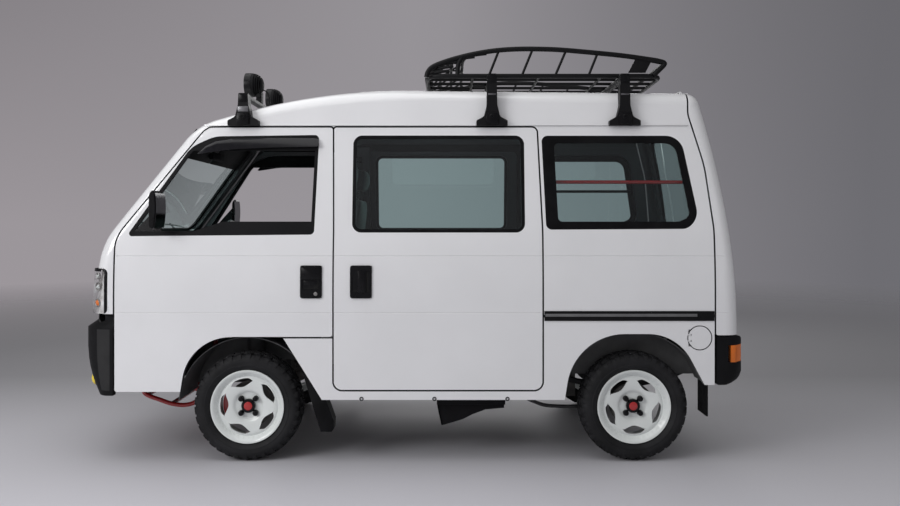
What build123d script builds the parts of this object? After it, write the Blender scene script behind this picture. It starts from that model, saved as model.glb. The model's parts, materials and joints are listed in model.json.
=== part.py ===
from build123d import *
import os

os.makedirs("parts", exist_ok=True)

# A small one-box van, in millimetres. Origin on the ground under the middle of the length and width;
# +X points to the rear, +Y to the car's right, +Z up. Left-hand pieces lie at -Y.

# ---------------------------------------------------------------- driving sizes
BODY_HALF = 697.5  # half width at the waist
ROOF_TOP = 1880  # highest point of the roof skin
CROWN_R = 4050  # crosswise curve of the roof and of both ends
WALL = 36  # thickness of a door or wall, skin to trim
PILLAR_T = 34
CORNER_R = 70  # rounding of pillars, roof rails and rear corners
WAIST_Z = 800  # below this the sides stand upright
BELT_Z = 1130  # the sides start to lean in, up to this height
TUMBLE_IN = 21.6  # how far the side has come in at BELT_Z
GUTTER_Z = 1652  # lower edge of the roof panel
SHUT_GAP = 8  # gap round doors and tailgate
SEAT_GAP = 0.3  # gap between fixed pieces that lie on each other
GLASS_IN = 5  # how far the glass lies under the skin
GLASS_T = 4
SEAL_T = 14
SEAL_W = 17
SILL_Z = 307
FLOOR_Z = 640  # top of the load floor
FLOOR_T = 8
FOOT_Z = 420  # top of the footwell floor
FOOT_END_X = -1130  # rear end of the footwell
AXLE_FRONT_X = -812
WHEELBASE = 1900
AXLE_REAR_X = AXLE_FRONT_X + WHEELBASE
TRACK_HALF = 602.5
TYRE_R = 266
TYRE_W = 157
RIM_R = 165.1  # bead seat of a 13 inch rim
RIM_W = 114
KINGPIN_Y = TRACK_HALF - 132.5
DOOR_TOP_Z = GUTTER_Z - SHUT_GAP
DOOR_FRONT_X = -1451
DOOR_REAR_X = -390
SLIDE_REAR_X = 634
BUMPER_TOP_Z = 717
BUMPER_REAR_Z = 614
BUMPER_HALF = BODY_HALF + 1.5
BUMPER_FRONT_X = -1645  # front of the bumper in the middle
BUMPER_REAR_X = 1649
TAIL_EDGE_X = 1481  # front edge of the tailgate and of the rear bumper
PRESS_DEEP = 2.2

# centre line of the body seen from the side: x, z, rounding radius of that corner
SIDE_PROFILE = (
    (-1576, 200, 0),
    (-1592, 800, 900),
    (-1531, 1136, 350),
    (-1088, 1701, 300),
    (-465, 1880, 3100),
    (1430, 1858, 72),
    (1602, 1230, 4300),
    (1602, 200, 0),
)


# ---------------------------------------------------------------- helpers
def inset_corners(rows, amount):
    """Corners of the outline whose sides lie `amount` further inside; rows run clockwise."""
    points = [Vector(x, z) for x, z, radius in rows]
    sides = []
    for start, end in zip(points, points[1:]):
        along = (end - start).normalized()
        sides.append((start + Vector(along.Y, -along.X) * amount, along))
    corners = [sides[0][0]]
    for (start, along), (other, across) in zip(sides, sides[1:]):
        gap = other - start
        reach = (gap.X * across.Y - gap.Y * across.X) / (along.X * across.Y - along.Y * across.X)
        corners.append(start + along * reach)
    corners.append(sides[-1][0] + sides[-1][1] * (points[-1] - points[-2]).length)
    return corners


def hull(inset, rounded=True):
    """The body as one solid, with its skin `inset` mm inside the outer skin."""
    with BuildPart() as body:
        with BuildSketch(Plane.XZ):
            with BuildLine():
                radii = [max(radius - inset, 1) for x, z, radius in SIDE_PROFILE[1:-1]]
                line = FilletPolyline(*inset_corners(SIDE_PROFILE, inset), radius=radii)
                Line(line @ 1, line @ 0)
            make_face()
        revolve(axis=Axis((0, 0, ROOF_TOP - CROWN_R), (1, 0, 0)), revolution_arc=18)
        mirror(about=Plane.XZ)
        with BuildSketch(Plane.YZ):
            with BuildLine():
                low = Line((BODY_HALF - inset, 100), (BODY_HALF - inset, WAIST_Z))
                belt_end = (BODY_HALF - TUMBLE_IN - inset, BELT_Z)
                belt = TangentArc(low @ 1, belt_end, tangent=(0, 1))
                upper = Line(belt @ 1, (belt @ 1) + (belt % 1) * 900)
                Line(upper @ 1, (0, (upper @ 1).Y))
                Line((0, (upper @ 1).Y), (0, 100))
                Line((0, 100), low @ 0)
            make_face()
            mirror(about=Plane.YZ)
        extrude(amount=2000, both=True, mode=Mode.INTERSECT)
        if rounded:
            outer = body.edges().filter_by(lambda edge: abs((edge @ 0.5).Y) > 0.8 * BODY_HALF)
            sharp = outer.filter_by(lambda edge: abs((edge % 0.5).X) < 0.9999 and (edge @ 0.5).Z > 150)
            fillet(sharp, CORNER_R - inset)
    return body.part


def side_prism(rows, near=300, far=900, grow=0):
    """Left-hand prism over an outline seen from the side: rows of x, z, corner radius."""
    with BuildPart(mode=Mode.PRIVATE) as prism:
        with BuildSketch(Plane.XZ.offset(near)):
            with BuildLine():
                FilletPolyline(*[(x, z) for x, z, r in rows], radius=[r for x, z, r in rows], close=True)
            make_face()
            if grow:
                offset(amount=grow, kind=Kind.INTERSECTION)
        extrude(amount=far - near)
    return prism.part


def end_prism(rows, start_x, end_x, grow=0):
    """Prism along X over an outline seen from the front: rows of y, z, corner radius."""
    with BuildPart(mode=Mode.PRIVATE) as prism:
        with BuildSketch(Plane.YZ.offset(start_x)):
            with BuildLine():
                FilletPolyline(*[(y, z) for y, z, r in rows], radius=[r for y, z, r in rows], close=True)
            make_face()
            if grow:
                offset(amount=grow, kind=Kind.INTERSECTION)
        extrude(amount=end_x - start_x)
    return prism.part


def to_right(part):
    """The right-hand twin of a left-hand piece."""
    return mirror(part, about=Plane.XZ, mode=Mode.PRIVATE)


def block(low, high):
    """A plain box between two opposite corners."""
    size = [high[i] - low[i] for i in range(3)]
    middle = [(high[i] + low[i]) / 2 for i in range(3)]
    with BuildPart(mode=Mode.PRIVATE) as made:
        with Locations(tuple(middle)):
            Box(*size)
    return made.part


def rounded_block(low, high, radius):
    """A box with all its edges rounded."""
    with BuildPart(mode=Mode.PRIVATE) as made:
        add(block(low, high))
        fillet(made.edges(), radius)
    return made.part


def rod(start, end, radius):
    """A round bar between two points."""
    along = Vector(*end) - Vector(*start)
    with BuildPart(mode=Mode.PRIVATE) as made:
        with BuildSketch(Plane(origin=start, z_dir=along)):
            Circle(radius)
        extrude(amount=along.length)
    return made.part


def tube_path(points, bend, radius, closed=False):
    """A bent round tube along straight runs joined by tangent arcs; bend is one radius or one per corner."""
    with BuildPart(mode=Mode.PRIVATE) as made:
        with BuildLine() as path:
            FilletPolyline(*points, radius=bend, close=closed)
        with BuildSketch(Plane(origin=path.line @ 0, z_dir=path.line % 0)):
            Circle(radius)
        sweep()
    return made.part


def save(piece, piece_name):
    piece.part.label = piece_name
    export_step(piece.part, "parts/" + piece_name + ".step")


SKIN = hull(0)
INSIDE = hull(WALL)
PLAIN_SHELL = SKIN - INSIDE
# pressed lines along the sides: height of the line, half width of the body there
PRESSED_LINES = ((1008, BODY_HALF - 8.6), (731, BODY_HALF))
with BuildPart() as creased:
    add(PLAIN_SHELL)
    for line_z, half_width in PRESSED_LINES:
        for side in (-1, 1):
            with BuildSketch(Plane.YZ.offset(DOOR_FRONT_X + 8)):
                with Locations((side * half_width, line_z)):
                    RegularPolygon(radius=PRESS_DEEP, side_count=4, rotation=0)
            extrude(amount=2 * SLIDE_REAR_X - 2 * DOOR_FRONT_X, mode=Mode.SUBTRACT)
SHELL = creased.part
# windows lie clear of the rounded corners, so their layers need no rounding
GLASS_LAYER = hull(GLASS_IN, rounded=False) - hull(GLASS_IN + GLASS_T, rounded=False)
SEAL_LAYER = hull(0, rounded=False) - hull(SEAL_T, rounded=False)
ROOM = hull(WALL + SEAT_GAP)  # what lies inside the walls
PILLAR_LAYER = hull(WALL + SHUT_GAP) - hull(WALL + SHUT_GAP + PILLAR_T, rounded=False)

# ---------------------------------------------------------------- outlines seen from the side
# each row: x, z, corner radius
FRONT_ARCH_Z = 613
REAR_ARCH_Z = 628
FRONT_ARCH = (
    (AXLE_FRONT_X - 328, 290, 0),
    (AXLE_FRONT_X - 276, FRONT_ARCH_Z, 238),
    (AXLE_FRONT_X + 180, FRONT_ARCH_Z, 30),
    (AXLE_FRONT_X + 382, 290, 0),
)
REAR_ARCH = (
    (AXLE_REAR_X - 347, 290, 0),
    (AXLE_REAR_X - 295, REAR_ARCH_Z, 283),
    (AXLE_REAR_X + 203, REAR_ARCH_Z, 234),
    (AXLE_REAR_X + 385, 290, 0),
)
FRONT_DOOR = (
    (DOOR_FRONT_X, 346, 12),
    (DOOR_FRONT_X, 1096, 170),
    (-1040, 1625, 30),
    (-1012, DOOR_TOP_Z, 20),
    (DOOR_REAR_X - 10, DOOR_TOP_Z, 12),
    (DOOR_REAR_X, BELT_Z, 0),
    (DOOR_REAR_X, 614, 12),
    (-880, 614, 0),
    (-880, 346, 0),
)
FRONT_DOOR_SHUT = FRONT_DOOR[:6] + ((DOOR_REAR_X, 614, 0), (-880, 614, 0), (-880, 346, 0))
SLIDING_DOOR = (
    (DOOR_REAR_X + SHUT_GAP, 356, 40),
    (DOOR_REAR_X + SHUT_GAP, BELT_Z, 0),
    (DOOR_REAR_X + SHUT_GAP - 10, DOOR_TOP_Z, 12),
    (SLIDE_REAR_X - 20, DOOR_TOP_Z, 25),
    (SLIDE_REAR_X, BELT_Z, 0),
    (SLIDE_REAR_X, 356, 40),
)
TAILGATE_X = 1383  # front edge of the tailgate in the roof
HINGE_X = TAILGATE_X + 10
HINGE_Z = 1852
HINGE_Y = 350
HINGE_HALF = 15
HINGE_R = 8
TAILGATE = (
    (TAILGATE_X, 1950, 0),
    (1374, 1713, 120),
    (1446, 1454, 600),
    (TAIL_EDGE_X, 1141, 500),
    (TAIL_EDGE_X, 622, 10),
    (1750, 622, 0),
    (1750, 1950, 0),
)
FRONT_WINDOW = (
    (-1400, 1104, 14),
    (-1100, 1548, 160),
    (-985, 1600, 160),
    (-466, 1607, 22),
    (-482, 1112, 22),
)
SLIDING_WINDOW = ((-296, 1122, 45), (-296, 1604, 45), (552, 1604, 45), (552, 1122, 45))
QUARTER_WINDOW = ((656, 1136, 30), (638, 1603, 30), (1330, 1603, 90), (1405, 1190, 90), (1345, 1140, 60))
QUARTER_GLASS = ((716, 1176, 22), (700, 1565, 22), (1300, 1565, 60), (1364, 1200, 36), (1310, 1176, 40))
HEADLAMP = ((-1750, 725, 0), (-1750, 946, 0), (-1486, 946, 24), (-1486, 725, 24))
HEADLAMP_INNER_Y = 400
LENS_T = 20
HANDLE_W = 102
HANDLE_H = 156
HANDLE_Z = 882
HANDLE_DEEP = 24
HANDLE_OUT = 4
FRONT_HANDLE_X = -493
SLIDING_HANDLE_X = -249
FUEL_X = 1401
FUEL_Z = 609
FUEL_R = 56
FUEL_GAP = 5
FUEL_DEEP = 32
FLAP_PIN_X = FUEL_X - FUEL_R + 9
FLAP_PIN_Y = -BODY_HALF + 5.5
FLAP_SWING = 41  # half height of the room in the pocket's rim for the flap's hinge edge
WINDSCREEN = ((-600, 1122, 60), (-530, 1676, 70), (530, 1676, 70), (600, 1122, 60))
TAIL_WINDOW = ((-560, 1150, 60), (-505, 1690, 70), (505, 1690, 70), (560, 1150, 60))


def handle_block(handle_x, grow=0):
    """Left-hand door handle: a plate with a finger slot, or its pocket where it is grown."""
    half = HANDLE_W / 2 + grow
    tall = HANDLE_H / 2 + grow
    return block(
        (handle_x - half, -BODY_HALF - HANDLE_OUT, HANDLE_Z - tall),
        (handle_x + half, -BODY_HALF + HANDLE_DEEP + grow, HANDLE_Z + tall),
    )


# ---------------------------------------------------------------- front doors
with BuildPart() as front_door_left:
    add(SHELL)
    add(side_prism(FRONT_DOOR), mode=Mode.INTERSECT)
    add(side_prism(FRONT_ARCH), mode=Mode.SUBTRACT)
    add(side_prism(FRONT_WINDOW), mode=Mode.SUBTRACT)
    add(handle_block(FRONT_HANDLE_X, SEAT_GAP), mode=Mode.SUBTRACT)
save(front_door_left, "front_door_left")
with BuildPart() as front_door_right:
    add(to_right(front_door_left.part))
save(front_door_right, "front_door_right")

# ---------------------------------------------------------------- sliding doors, fixed shut
with BuildPart() as sliding_door_left:
    add(SHELL)
    add(side_prism(SLIDING_DOOR), mode=Mode.INTERSECT)
    add(side_prism(SLIDING_WINDOW), mode=Mode.SUBTRACT)
    add(handle_block(SLIDING_HANDLE_X, SEAT_GAP), mode=Mode.SUBTRACT)
save(sliding_door_left, "sliding_door_left")
with BuildPart() as sliding_door_right:
    add(to_right(sliding_door_left.part))
save(sliding_door_right, "sliding_door_right")

# ---------------------------------------------------------------- body sides
SIDE_FIELD = (
    (-660, 606, 0),
    (-430, 606, 0),
    (-430, GUTTER_Z - SEAT_GAP, 0),
    (1700, GUTTER_Z - SEAT_GAP, 0),
    (1700, 380, 0),
    (1380, 380, 0),
    (1380, SILL_Z, 0),
    (-660, SILL_Z, 0),
)
CENTRE_PILLAR = ((-450, 430, 0), (-450, GUTTER_Z, 0), (-330, GUTTER_Z, 0), (-330, 430, 0))
PILLAR_FOOT = ((-450, 430, 0), (-450, 598, 0), (-404, 598, 0), (-404, 430, 0))
REAR_CUT_X = TAIL_EDGE_X - SHUT_GAP
REAR_CUT = ((REAR_CUT_X, 200, 0), (REAR_CUT_X, 640, 0), (1750, 640, 0), (1750, 200, 0))
with BuildPart() as plain_side:
    add(SHELL)
    add(side_prism(SIDE_FIELD), mode=Mode.INTERSECT)
    add(side_prism(FRONT_DOOR_SHUT, grow=SHUT_GAP), mode=Mode.SUBTRACT)
    add(side_prism(SLIDING_DOOR, grow=SHUT_GAP), mode=Mode.SUBTRACT)
    add(side_prism(TAILGATE, grow=SHUT_GAP), mode=Mode.SUBTRACT)
    add(side_prism(REAR_CUT), mode=Mode.SUBTRACT)
    add(side_prism(FRONT_ARCH), mode=Mode.SUBTRACT)
    add(side_prism(REAR_ARCH), mode=Mode.SUBTRACT)
    add(side_prism(QUARTER_WINDOW), mode=Mode.SUBTRACT)
    add(PILLAR_LAYER & side_prism(CENTRE_PILLAR))
    add((hull(24) - hull(WALL + SHUT_GAP + PILLAR_T, rounded=False)) & side_prism(PILLAR_FOOT))
with BuildPart() as side_panel_right:
    add(to_right(plain_side.part))
save(side_panel_right, "side_panel_right")
# the filler pocket is on the left only
with BuildPart() as side_panel_left:
    add(plain_side.part)
    pocket_end = (FUEL_X, -BODY_HALF + FUEL_DEEP, FUEL_Z)
    add(rod((FUEL_X, -BODY_HALF - 5, FUEL_Z), pocket_end, FUEL_R + FUEL_GAP), mode=Mode.SUBTRACT)
    swing_low = (FUEL_X - FUEL_R, -BODY_HALF - 5, FUEL_Z - FLAP_SWING)
    add(block(swing_low, (FUEL_X, -BODY_HALF + 12, FUEL_Z + FLAP_SWING)), mode=Mode.SUBTRACT)
    add(rod((FUEL_X, -BODY_HALF + 12, FUEL_Z), pocket_end, 27))
    for low_z in (FUEL_Z - 18, FUEL_Z + 12):
        add(block((FUEL_X - FUEL_R - 14, FLAP_PIN_Y - 4, low_z), (FLAP_PIN_X + 4, FLAP_PIN_Y + 4, low_z + 6)))
    add(rod((FLAP_PIN_X, FLAP_PIN_Y, FUEL_Z - 15), (FLAP_PIN_X, FLAP_PIN_Y, FUEL_Z + 15), 2))
save(side_panel_left, "side_panel_left")

# ---------------------------------------------------------------- roof
with BuildPart() as roof_panel:
    add(SHELL)
    with BuildSketch(Plane.XY.offset(GUTTER_Z)):
        Rectangle(4000, 2000)
    extrude(amount=400, mode=Mode.INTERSECT)
    add(side_prism(TAILGATE, near=-900, grow=SHUT_GAP), mode=Mode.SUBTRACT)
    add(end_prism(WINDSCREEN, -1700, -900), mode=Mode.SUBTRACT)
    for side in (-1, 1):
        low_y = side * HINGE_Y - HINGE_HALF
        high_y = side * HINGE_Y + HINGE_HALF
        add(block((TAILGATE_X - 45, low_y, HINGE_Z - 22), (TAILGATE_X - SHUT_GAP, high_y, HINGE_Z - 2)))
        add(block((TAILGATE_X - 45, low_y, HINGE_Z - 5.5), (HINGE_X - 3, high_y, HINGE_Z - 2)))
        add(rod((HINGE_X, low_y, HINGE_Z), (HINGE_X, high_y, HINGE_Z), HINGE_R))
save(roof_panel, "roof_panel")

# ---------------------------------------------------------------- nose and windscreen pillars
NOSE_FIELD = (
    (-1750, BUMPER_TOP_Z + SHUT_GAP, 0),
    (-1750, GUTTER_Z - SEAT_GAP, 0),
    (-900, GUTTER_Z - SEAT_GAP, 0),
    (-900, BUMPER_TOP_Z + SHUT_GAP, 0),
)
with BuildPart() as nose_panel:
    add(SHELL)
    add(side_prism(NOSE_FIELD, near=-900), mode=Mode.INTERSECT)
    add(side_prism(FRONT_DOOR_SHUT, near=-900, grow=SHUT_GAP), mode=Mode.SUBTRACT)
    add(end_prism(WINDSCREEN, -1700, -900), mode=Mode.SUBTRACT)
    add(side_prism(HEADLAMP, near=HEADLAMP_INNER_Y - SEAT_GAP, grow=SEAT_GAP), mode=Mode.SUBTRACT)
    add(to_right(side_prism(HEADLAMP, near=HEADLAMP_INNER_Y - SEAT_GAP, grow=SEAT_GAP)), mode=Mode.SUBTRACT)
save(nose_panel, "nose_panel")

# ---------------------------------------------------------------- tailgate
with BuildPart() as tailgate:
    add(SHELL)
    add(side_prism(TAILGATE, near=-900), mode=Mode.INTERSECT)
    add(end_prism(TAIL_WINDOW, 1300, 1700), mode=Mode.SUBTRACT)
    for side in (-1, 1):
        for half in (-1, 1):
            near_y = side * HINGE_Y + half * (HINGE_HALF + SEAT_GAP)
            far_y = near_y + half * 18
            add(rod((HINGE_X, near_y, HINGE_Z), (HINGE_X, far_y, HINGE_Z), HINGE_R))
            strap_low = (HINGE_X, min(near_y, far_y), HINGE_Z - 24)
            add(block(strap_low, (HINGE_X + 40, max(near_y, far_y), HINGE_Z - 2)))
save(tailgate, "tailgate")

# ---------------------------------------------------------------- glass and its rubber seals
def pane(window, row_prism):
    """Glass of one window: the glass layer inside the seal."""
    return GLASS_LAYER & row_prism(window, grow=-SEAL_W - SEAT_GAP)


def left_prism(window, grow=0):
    return side_prism(window, grow=grow)


def front_prism(window, grow=0):
    return end_prism(window, -1700, -900, grow=grow)


def rear_prism(window, grow=0):
    return end_prism(window, 1300, 1700, grow=grow)


def seal_ring(window, row_prism):
    """Rubber frame between a window opening and its glass."""
    return SEAL_LAYER & (row_prism(window) - row_prism(window, grow=-SEAL_W))


with BuildPart() as windscreen:
    add(pane(WINDSCREEN, front_prism))
save(windscreen, "windscreen")
with BuildPart() as tailgate_glass:
    add(pane(TAIL_WINDOW, rear_prism))
save(tailgate_glass, "tailgate_glass")
with BuildPart() as tailgate_seal:
    add(seal_ring(TAIL_WINDOW, rear_prism))
save(tailgate_seal, "tailgate_seal")
with BuildPart() as side_windows:
    add(pane(SLIDING_WINDOW, left_prism))
    add(GLASS_LAYER & side_prism(QUARTER_GLASS))
    mirror(about=Plane.XZ)
save(side_windows, "side_windows")
with BuildPart() as window_seals:
    add(seal_ring(SLIDING_WINDOW, left_prism))
    add(SEAL_LAYER & (side_prism(QUARTER_WINDOW) - side_prism(QUARTER_GLASS, grow=SEAT_GAP)))
    mirror(about=Plane.XZ)
    add(seal_ring(WINDSCREEN, front_prism))
save(window_seals, "window_seals")

# ---------------------------------------------------------------- floor
# seen from the side: the footwell, the riser over the front wheels and the flat load floor
FLOOR_TOP = (
    (-1640, 800),
    (-1430, FOOT_Z + 150),
    (-1405, FOOT_Z),
    (FOOT_END_X, FOOT_Z),
    (FOOT_END_X + 20, FLOOR_Z),
    (1465, FLOOR_Z),
)
RAIL_Y = 330
RAIL_W = 60
RAIL_H = 70
RAIL_UNDER_Z = FLOOR_Z - FLOOR_T - RAIL_H
CROSS_RAILS = (-1040, -420, 100, 520, 1400)  # x of the cross members
with BuildPart() as floor:
    with BuildSketch(Plane.XZ.offset(-BODY_HALF)):
        with BuildLine():
            floor_line = Polyline(*FLOOR_TOP)
            offset(floor_line, amount=FLOOR_T, side=Side.RIGHT)
        make_face()
    extrude(amount=2 * BODY_HALF)
    with BuildSketch(Plane.XY.offset(FLOOR_Z - FLOOR_T - RAIL_H)):
        for side in (-1, 1):
            with Locations((180, side * RAIL_Y)):
                Rectangle(2560, RAIL_W)
        for rail_x in CROSS_RAILS:
            with Locations((rail_x, 0)):
                Rectangle(60, 2 * RAIL_Y)
    extrude(amount=RAIL_H)
    for side in (-1, 1):
        add(block((1430, side * RAIL_Y - 25, RAIL_UNDER_Z), (1640, side * RAIL_Y + 25, BUMPER_REAR_Z - 8)))
    add(ROOM, mode=Mode.INTERSECT)
    with BuildSketch(Plane.XY.offset(300)):
        for side in (-1, 1):
            with Locations((-1425, side * BODY_HALF)):
                Rectangle(130, 180)
    extrude(amount=400, mode=Mode.SUBTRACT)
    pillar_in_y = BODY_HALF - WALL - SHUT_GAP - PILLAR_T - SEAT_GAP
    pillar_room = side_prism(CENTRE_PILLAR, near=pillar_in_y, grow=SEAT_GAP)
    add(pillar_room, mode=Mode.SUBTRACT)
    add(to_right(pillar_room), mode=Mode.SUBTRACT)
save(floor, "floor")

# ---------------------------------------------------------------- bumpers
FRONT_BUMPER = (
    (-1459, 327, 0),
    (-1459, BUMPER_TOP_Z, 0),
    (-1644, BUMPER_TOP_Z, 0),
    (-1644, 560, 300),
    (-1606, 345, 60),
    (-1584, 327, 8),
)
REAR_BUMPER = (
    (TAIL_EDGE_X, 380, 12),
    (TAIL_EDGE_X, BUMPER_REAR_Z, 8),
    (1610, BUMPER_REAR_Z, 14),
    (1648, 585, 16),
    (1648, 420, 20),
    (1600, 380, 14),
)
NECK_LOW_Z = 690  # the front bumper narrows to its upper edge above this
FLARE_LOW_Z = 655
NECK_IN = 50  # how far the neck lies behind the bumper's face
NECK_SIDE_IN = 22


def bumper_plan(face_x, bow, half, corner_r, height):
    """Plan of a bumper: corners at the ends, a slight bow between them."""
    inner_x = face_x + bow * 11
    with BuildSketch(Plane.XY.offset(height), mode=Mode.PRIVATE) as plan:
        with BuildLine():
            end_x = face_x + bow
            rows = ((inner_x, -half), (end_x, -half), (face_x, 0), (end_x, half), (inner_x, half))
            FilletPolyline(*rows, radius=(corner_r, 3000, corner_r))
            Line((inner_x, half), (inner_x, -half))
        make_face()
    return plan.sketch


with BuildPart() as front_plan:
    add(bumper_plan(BUMPER_FRONT_X, 19, BUMPER_HALF, 150, 300))
    extrude(amount=FLARE_LOW_Z - 300)
    add(bumper_plan(BUMPER_FRONT_X + NECK_IN, 19, BUMPER_HALF - NECK_SIDE_IN, 130, NECK_LOW_Z))
    extrude(amount=BUMPER_TOP_Z - NECK_LOW_Z)
    add(bumper_plan(BUMPER_FRONT_X, 19, BUMPER_HALF, 150, FLARE_LOW_Z))
    add(bumper_plan(BUMPER_FRONT_X + NECK_IN, 19, BUMPER_HALF - NECK_SIDE_IN, 130, NECK_LOW_Z))
    loft(ruled=True)
with BuildPart() as plain_front_bumper:
    add(side_prism(FRONT_BUMPER, near=-BUMPER_HALF, far=BUMPER_HALF))
    add(front_plan.part, mode=Mode.INTERSECT)
    add(INSIDE, mode=Mode.SUBTRACT)
with BuildPart() as rear_plan:
    add(bumper_plan(BUMPER_REAR_X, -15, BUMPER_HALF, 120, 300))
    extrude(amount=400)
with BuildPart() as plain_rear_bumper:
    add(side_prism(REAR_BUMPER, near=-BUMPER_HALF, far=BUMPER_HALF))
    add(rear_plan.part, mode=Mode.INTERSECT)
    add(INSIDE, mode=Mode.SUBTRACT)

# ---------------------------------------------------------------- wheels
# half section of the tyre: radius, distance from its middle plane, corner rounding
TYRE_SECTION = (
    (RIM_R + SEAT_GAP, -RIM_W / 2 + SEAT_GAP, 0),
    (RIM_R + 15 + SEAT_GAP, -RIM_W / 2 + SEAT_GAP, 0),
    (RIM_R + 22, -70, 6),
    (RIM_R + 55, -TYRE_W / 2, 40),
    (TYRE_R - 22, -TYRE_W / 2 + 6, 14),
    (TYRE_R, -58, 14),
)


def wheel_plane(axle_x, side):
    """Plane through the wheel's middle; its normal points to the outside."""
    return Plane(origin=(axle_x, side * TRACK_HALF, TYRE_R), x_dir=(1, 0, 0), z_dir=(0, side, 0))


def tyre_part(axle_x, side):
    rows = TYRE_SECTION + tuple((r, -w, c) for r, w, c in reversed(TYRE_SECTION))
    with BuildPart(mode=Mode.PRIVATE) as made:
        with BuildSketch(Plane(origin=(axle_x, side * TRACK_HALF, TYRE_R), x_dir=(0, 0, 1), z_dir=(1, 0, 0))):
            with BuildLine():
                FilletPolyline(*[(r, w) for r, w, c in rows], radius=[c for r, w, c in rows], close=True)
            make_face()
        revolve(axis=Axis((axle_x, 0, TYRE_R), (0, 1, 0)))
    return made.part


SPOKE_HOLES = 5
SPOKE_HOLE_R = 117
LEAF_HALF = 44  # half length of a leaf-shaped hole
LEAF_BULGE = 19
LUG_CIRCLE_R = 50
LUG_COUNT = 4
CENTRE_BORE_R = 28


def rim_part(axle_x, side):
    out = -side
    base = Plane(origin=(axle_x, side * TRACK_HALF, TYRE_R), x_dir=(0, 0, 1), z_dir=(1, 0, 0))
    half = RIM_W / 2
    with BuildPart(mode=Mode.PRIVATE) as made:
        with BuildSketch(base):
            with BuildLine():
                Polyline(
                    (RIM_R, -half),
                    (RIM_R + 15, -half),
                    (RIM_R + 15, -half - 10),
                    (RIM_R - 5, -half - 10),
                    (RIM_R - 10, -half + 20),
                    (RIM_R - 24, -half + 30),
                    (RIM_R - 24, half - 30),
                    (RIM_R - 10, half - 20),
                    (RIM_R - 5, half + 10),
                    (RIM_R + 15, half + 10),
                    (RIM_R + 15, half),
                    (RIM_R, half),
                    (RIM_R, half - 22),
                    (RIM_R - 16, half - 34),
                    (RIM_R - 16, -half + 34),
                    (RIM_R, -half + 22),
                    close=True,
                )
            make_face()
            with BuildLine():
                Polyline(
                    (RIM_R - 20, out * 28),
                    (RIM_R - 20, out * 36),
                    (RIM_R - 45, out * 52),
                    (84, out * 42),
                    (70, out * 28),
                    (CENTRE_BORE_R, out * 28),
                    (CENTRE_BORE_R, out * 20),
                    (74, out * 20),
                    (90, out * 32),
                    (RIM_R - 47, out * 42),
                    close=True,
                )
            make_face()
        revolve(axis=Axis((axle_x, 0, TYRE_R), (0, 1, 0)))
        with BuildSketch(wheel_plane(axle_x, side)):
            with PolarLocations(SPOKE_HOLE_R, SPOKE_HOLES, start_angle=36):
                with BuildLine():
                    ThreePointArc((0, -LEAF_HALF), (LEAF_BULGE, 0), (0, LEAF_HALF))
                    ThreePointArc((0, LEAF_HALF), (-LEAF_BULGE, 0), (0, -LEAF_HALF))
                make_face()
            with PolarLocations(LUG_CIRCLE_R, LUG_COUNT, start_angle=45):
                Circle(6.5)
        extrude(amount=100, mode=Mode.SUBTRACT)
    return made.part


HUB_FACE = 20 - SEAT_GAP  # hub flange face, from the wheel's middle plane towards the outside


def hub_part(axle_x, side, drum):
    """Hub flange with its spigot and studs, and the brake disc or drum behind it."""
    base = Plane(origin=(axle_x, side * TRACK_HALF, TYRE_R), x_dir=(0, 0, 1), z_dir=(1, 0, 0))
    out = -side
    spigot = ((0, 34), (CENTRE_BORE_R - SEAT_GAP, 34), (CENTRE_BORE_R - SEAT_GAP, HUB_FACE))
    if drum:
        rows = spigot + (
            (100, HUB_FACE),
            (108, HUB_FACE - 8),
            (108, -36),
            (98, -36),
            (98, HUB_FACE - 14),
            (0, HUB_FACE - 14),
        )
    else:
        rows = spigot + (
            (68, HUB_FACE),
            (68, -10),
            (115, -10),
            (115, -22),
            (58, -22),
            (58, HUB_FACE - 12),
            (0, HUB_FACE - 12),
        )
    with BuildPart(mode=Mode.PRIVATE) as made:
        with BuildSketch(base):
            with BuildLine():
                Polyline(*[(r, out * w) for r, w in rows], close=True)
            make_face()
        revolve(axis=Axis((axle_x, 0, TYRE_R), (0, 1, 0)))
        with BuildSketch(wheel_plane(axle_x, side).offset(HUB_FACE)):
            with PolarLocations(LUG_CIRCLE_R, LUG_COUNT, start_angle=45):
                Circle(6)
        extrude(amount=30)
    return made.part


# corner: name, axle x, side, drum brake
CORNERS = (
    ("front_left", AXLE_FRONT_X, -1, False),
    ("front_right", AXLE_FRONT_X, 1, False),
    ("rear_left", AXLE_REAR_X, -1, True),
    ("rear_right", AXLE_REAR_X, 1, True),
)
for corner_name, axle_x, side, drum in CORNERS:
    with BuildPart() as tyre:
        add(tyre_part(axle_x, side))
    save(tyre, "tyre_" + corner_name)
    with BuildPart() as wheel:
        add(rim_part(axle_x, side))
    save(wheel, "wheel_" + corner_name)
    with BuildPart() as hub:
        add(hub_part(axle_x, side, drum))
    save(hub, "hub_" + corner_name)

# ---------------------------------------------------------------- lamps
with BuildPart() as headlamp_lenses:
    add((SKIN - hull(LENS_T)) & side_prism(HEADLAMP, near=HEADLAMP_INNER_Y))
    mirror(about=Plane.XZ)
save(headlamp_lenses, "headlamp_lenses")
with BuildPart() as headlamp_housings:
    add((hull(LENS_T + SEAT_GAP) - INSIDE) & side_prism(HEADLAMP, near=HEADLAMP_INNER_Y))
    mirror(about=Plane.XZ)
save(headlamp_housings, "headlamp_housings")

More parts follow.
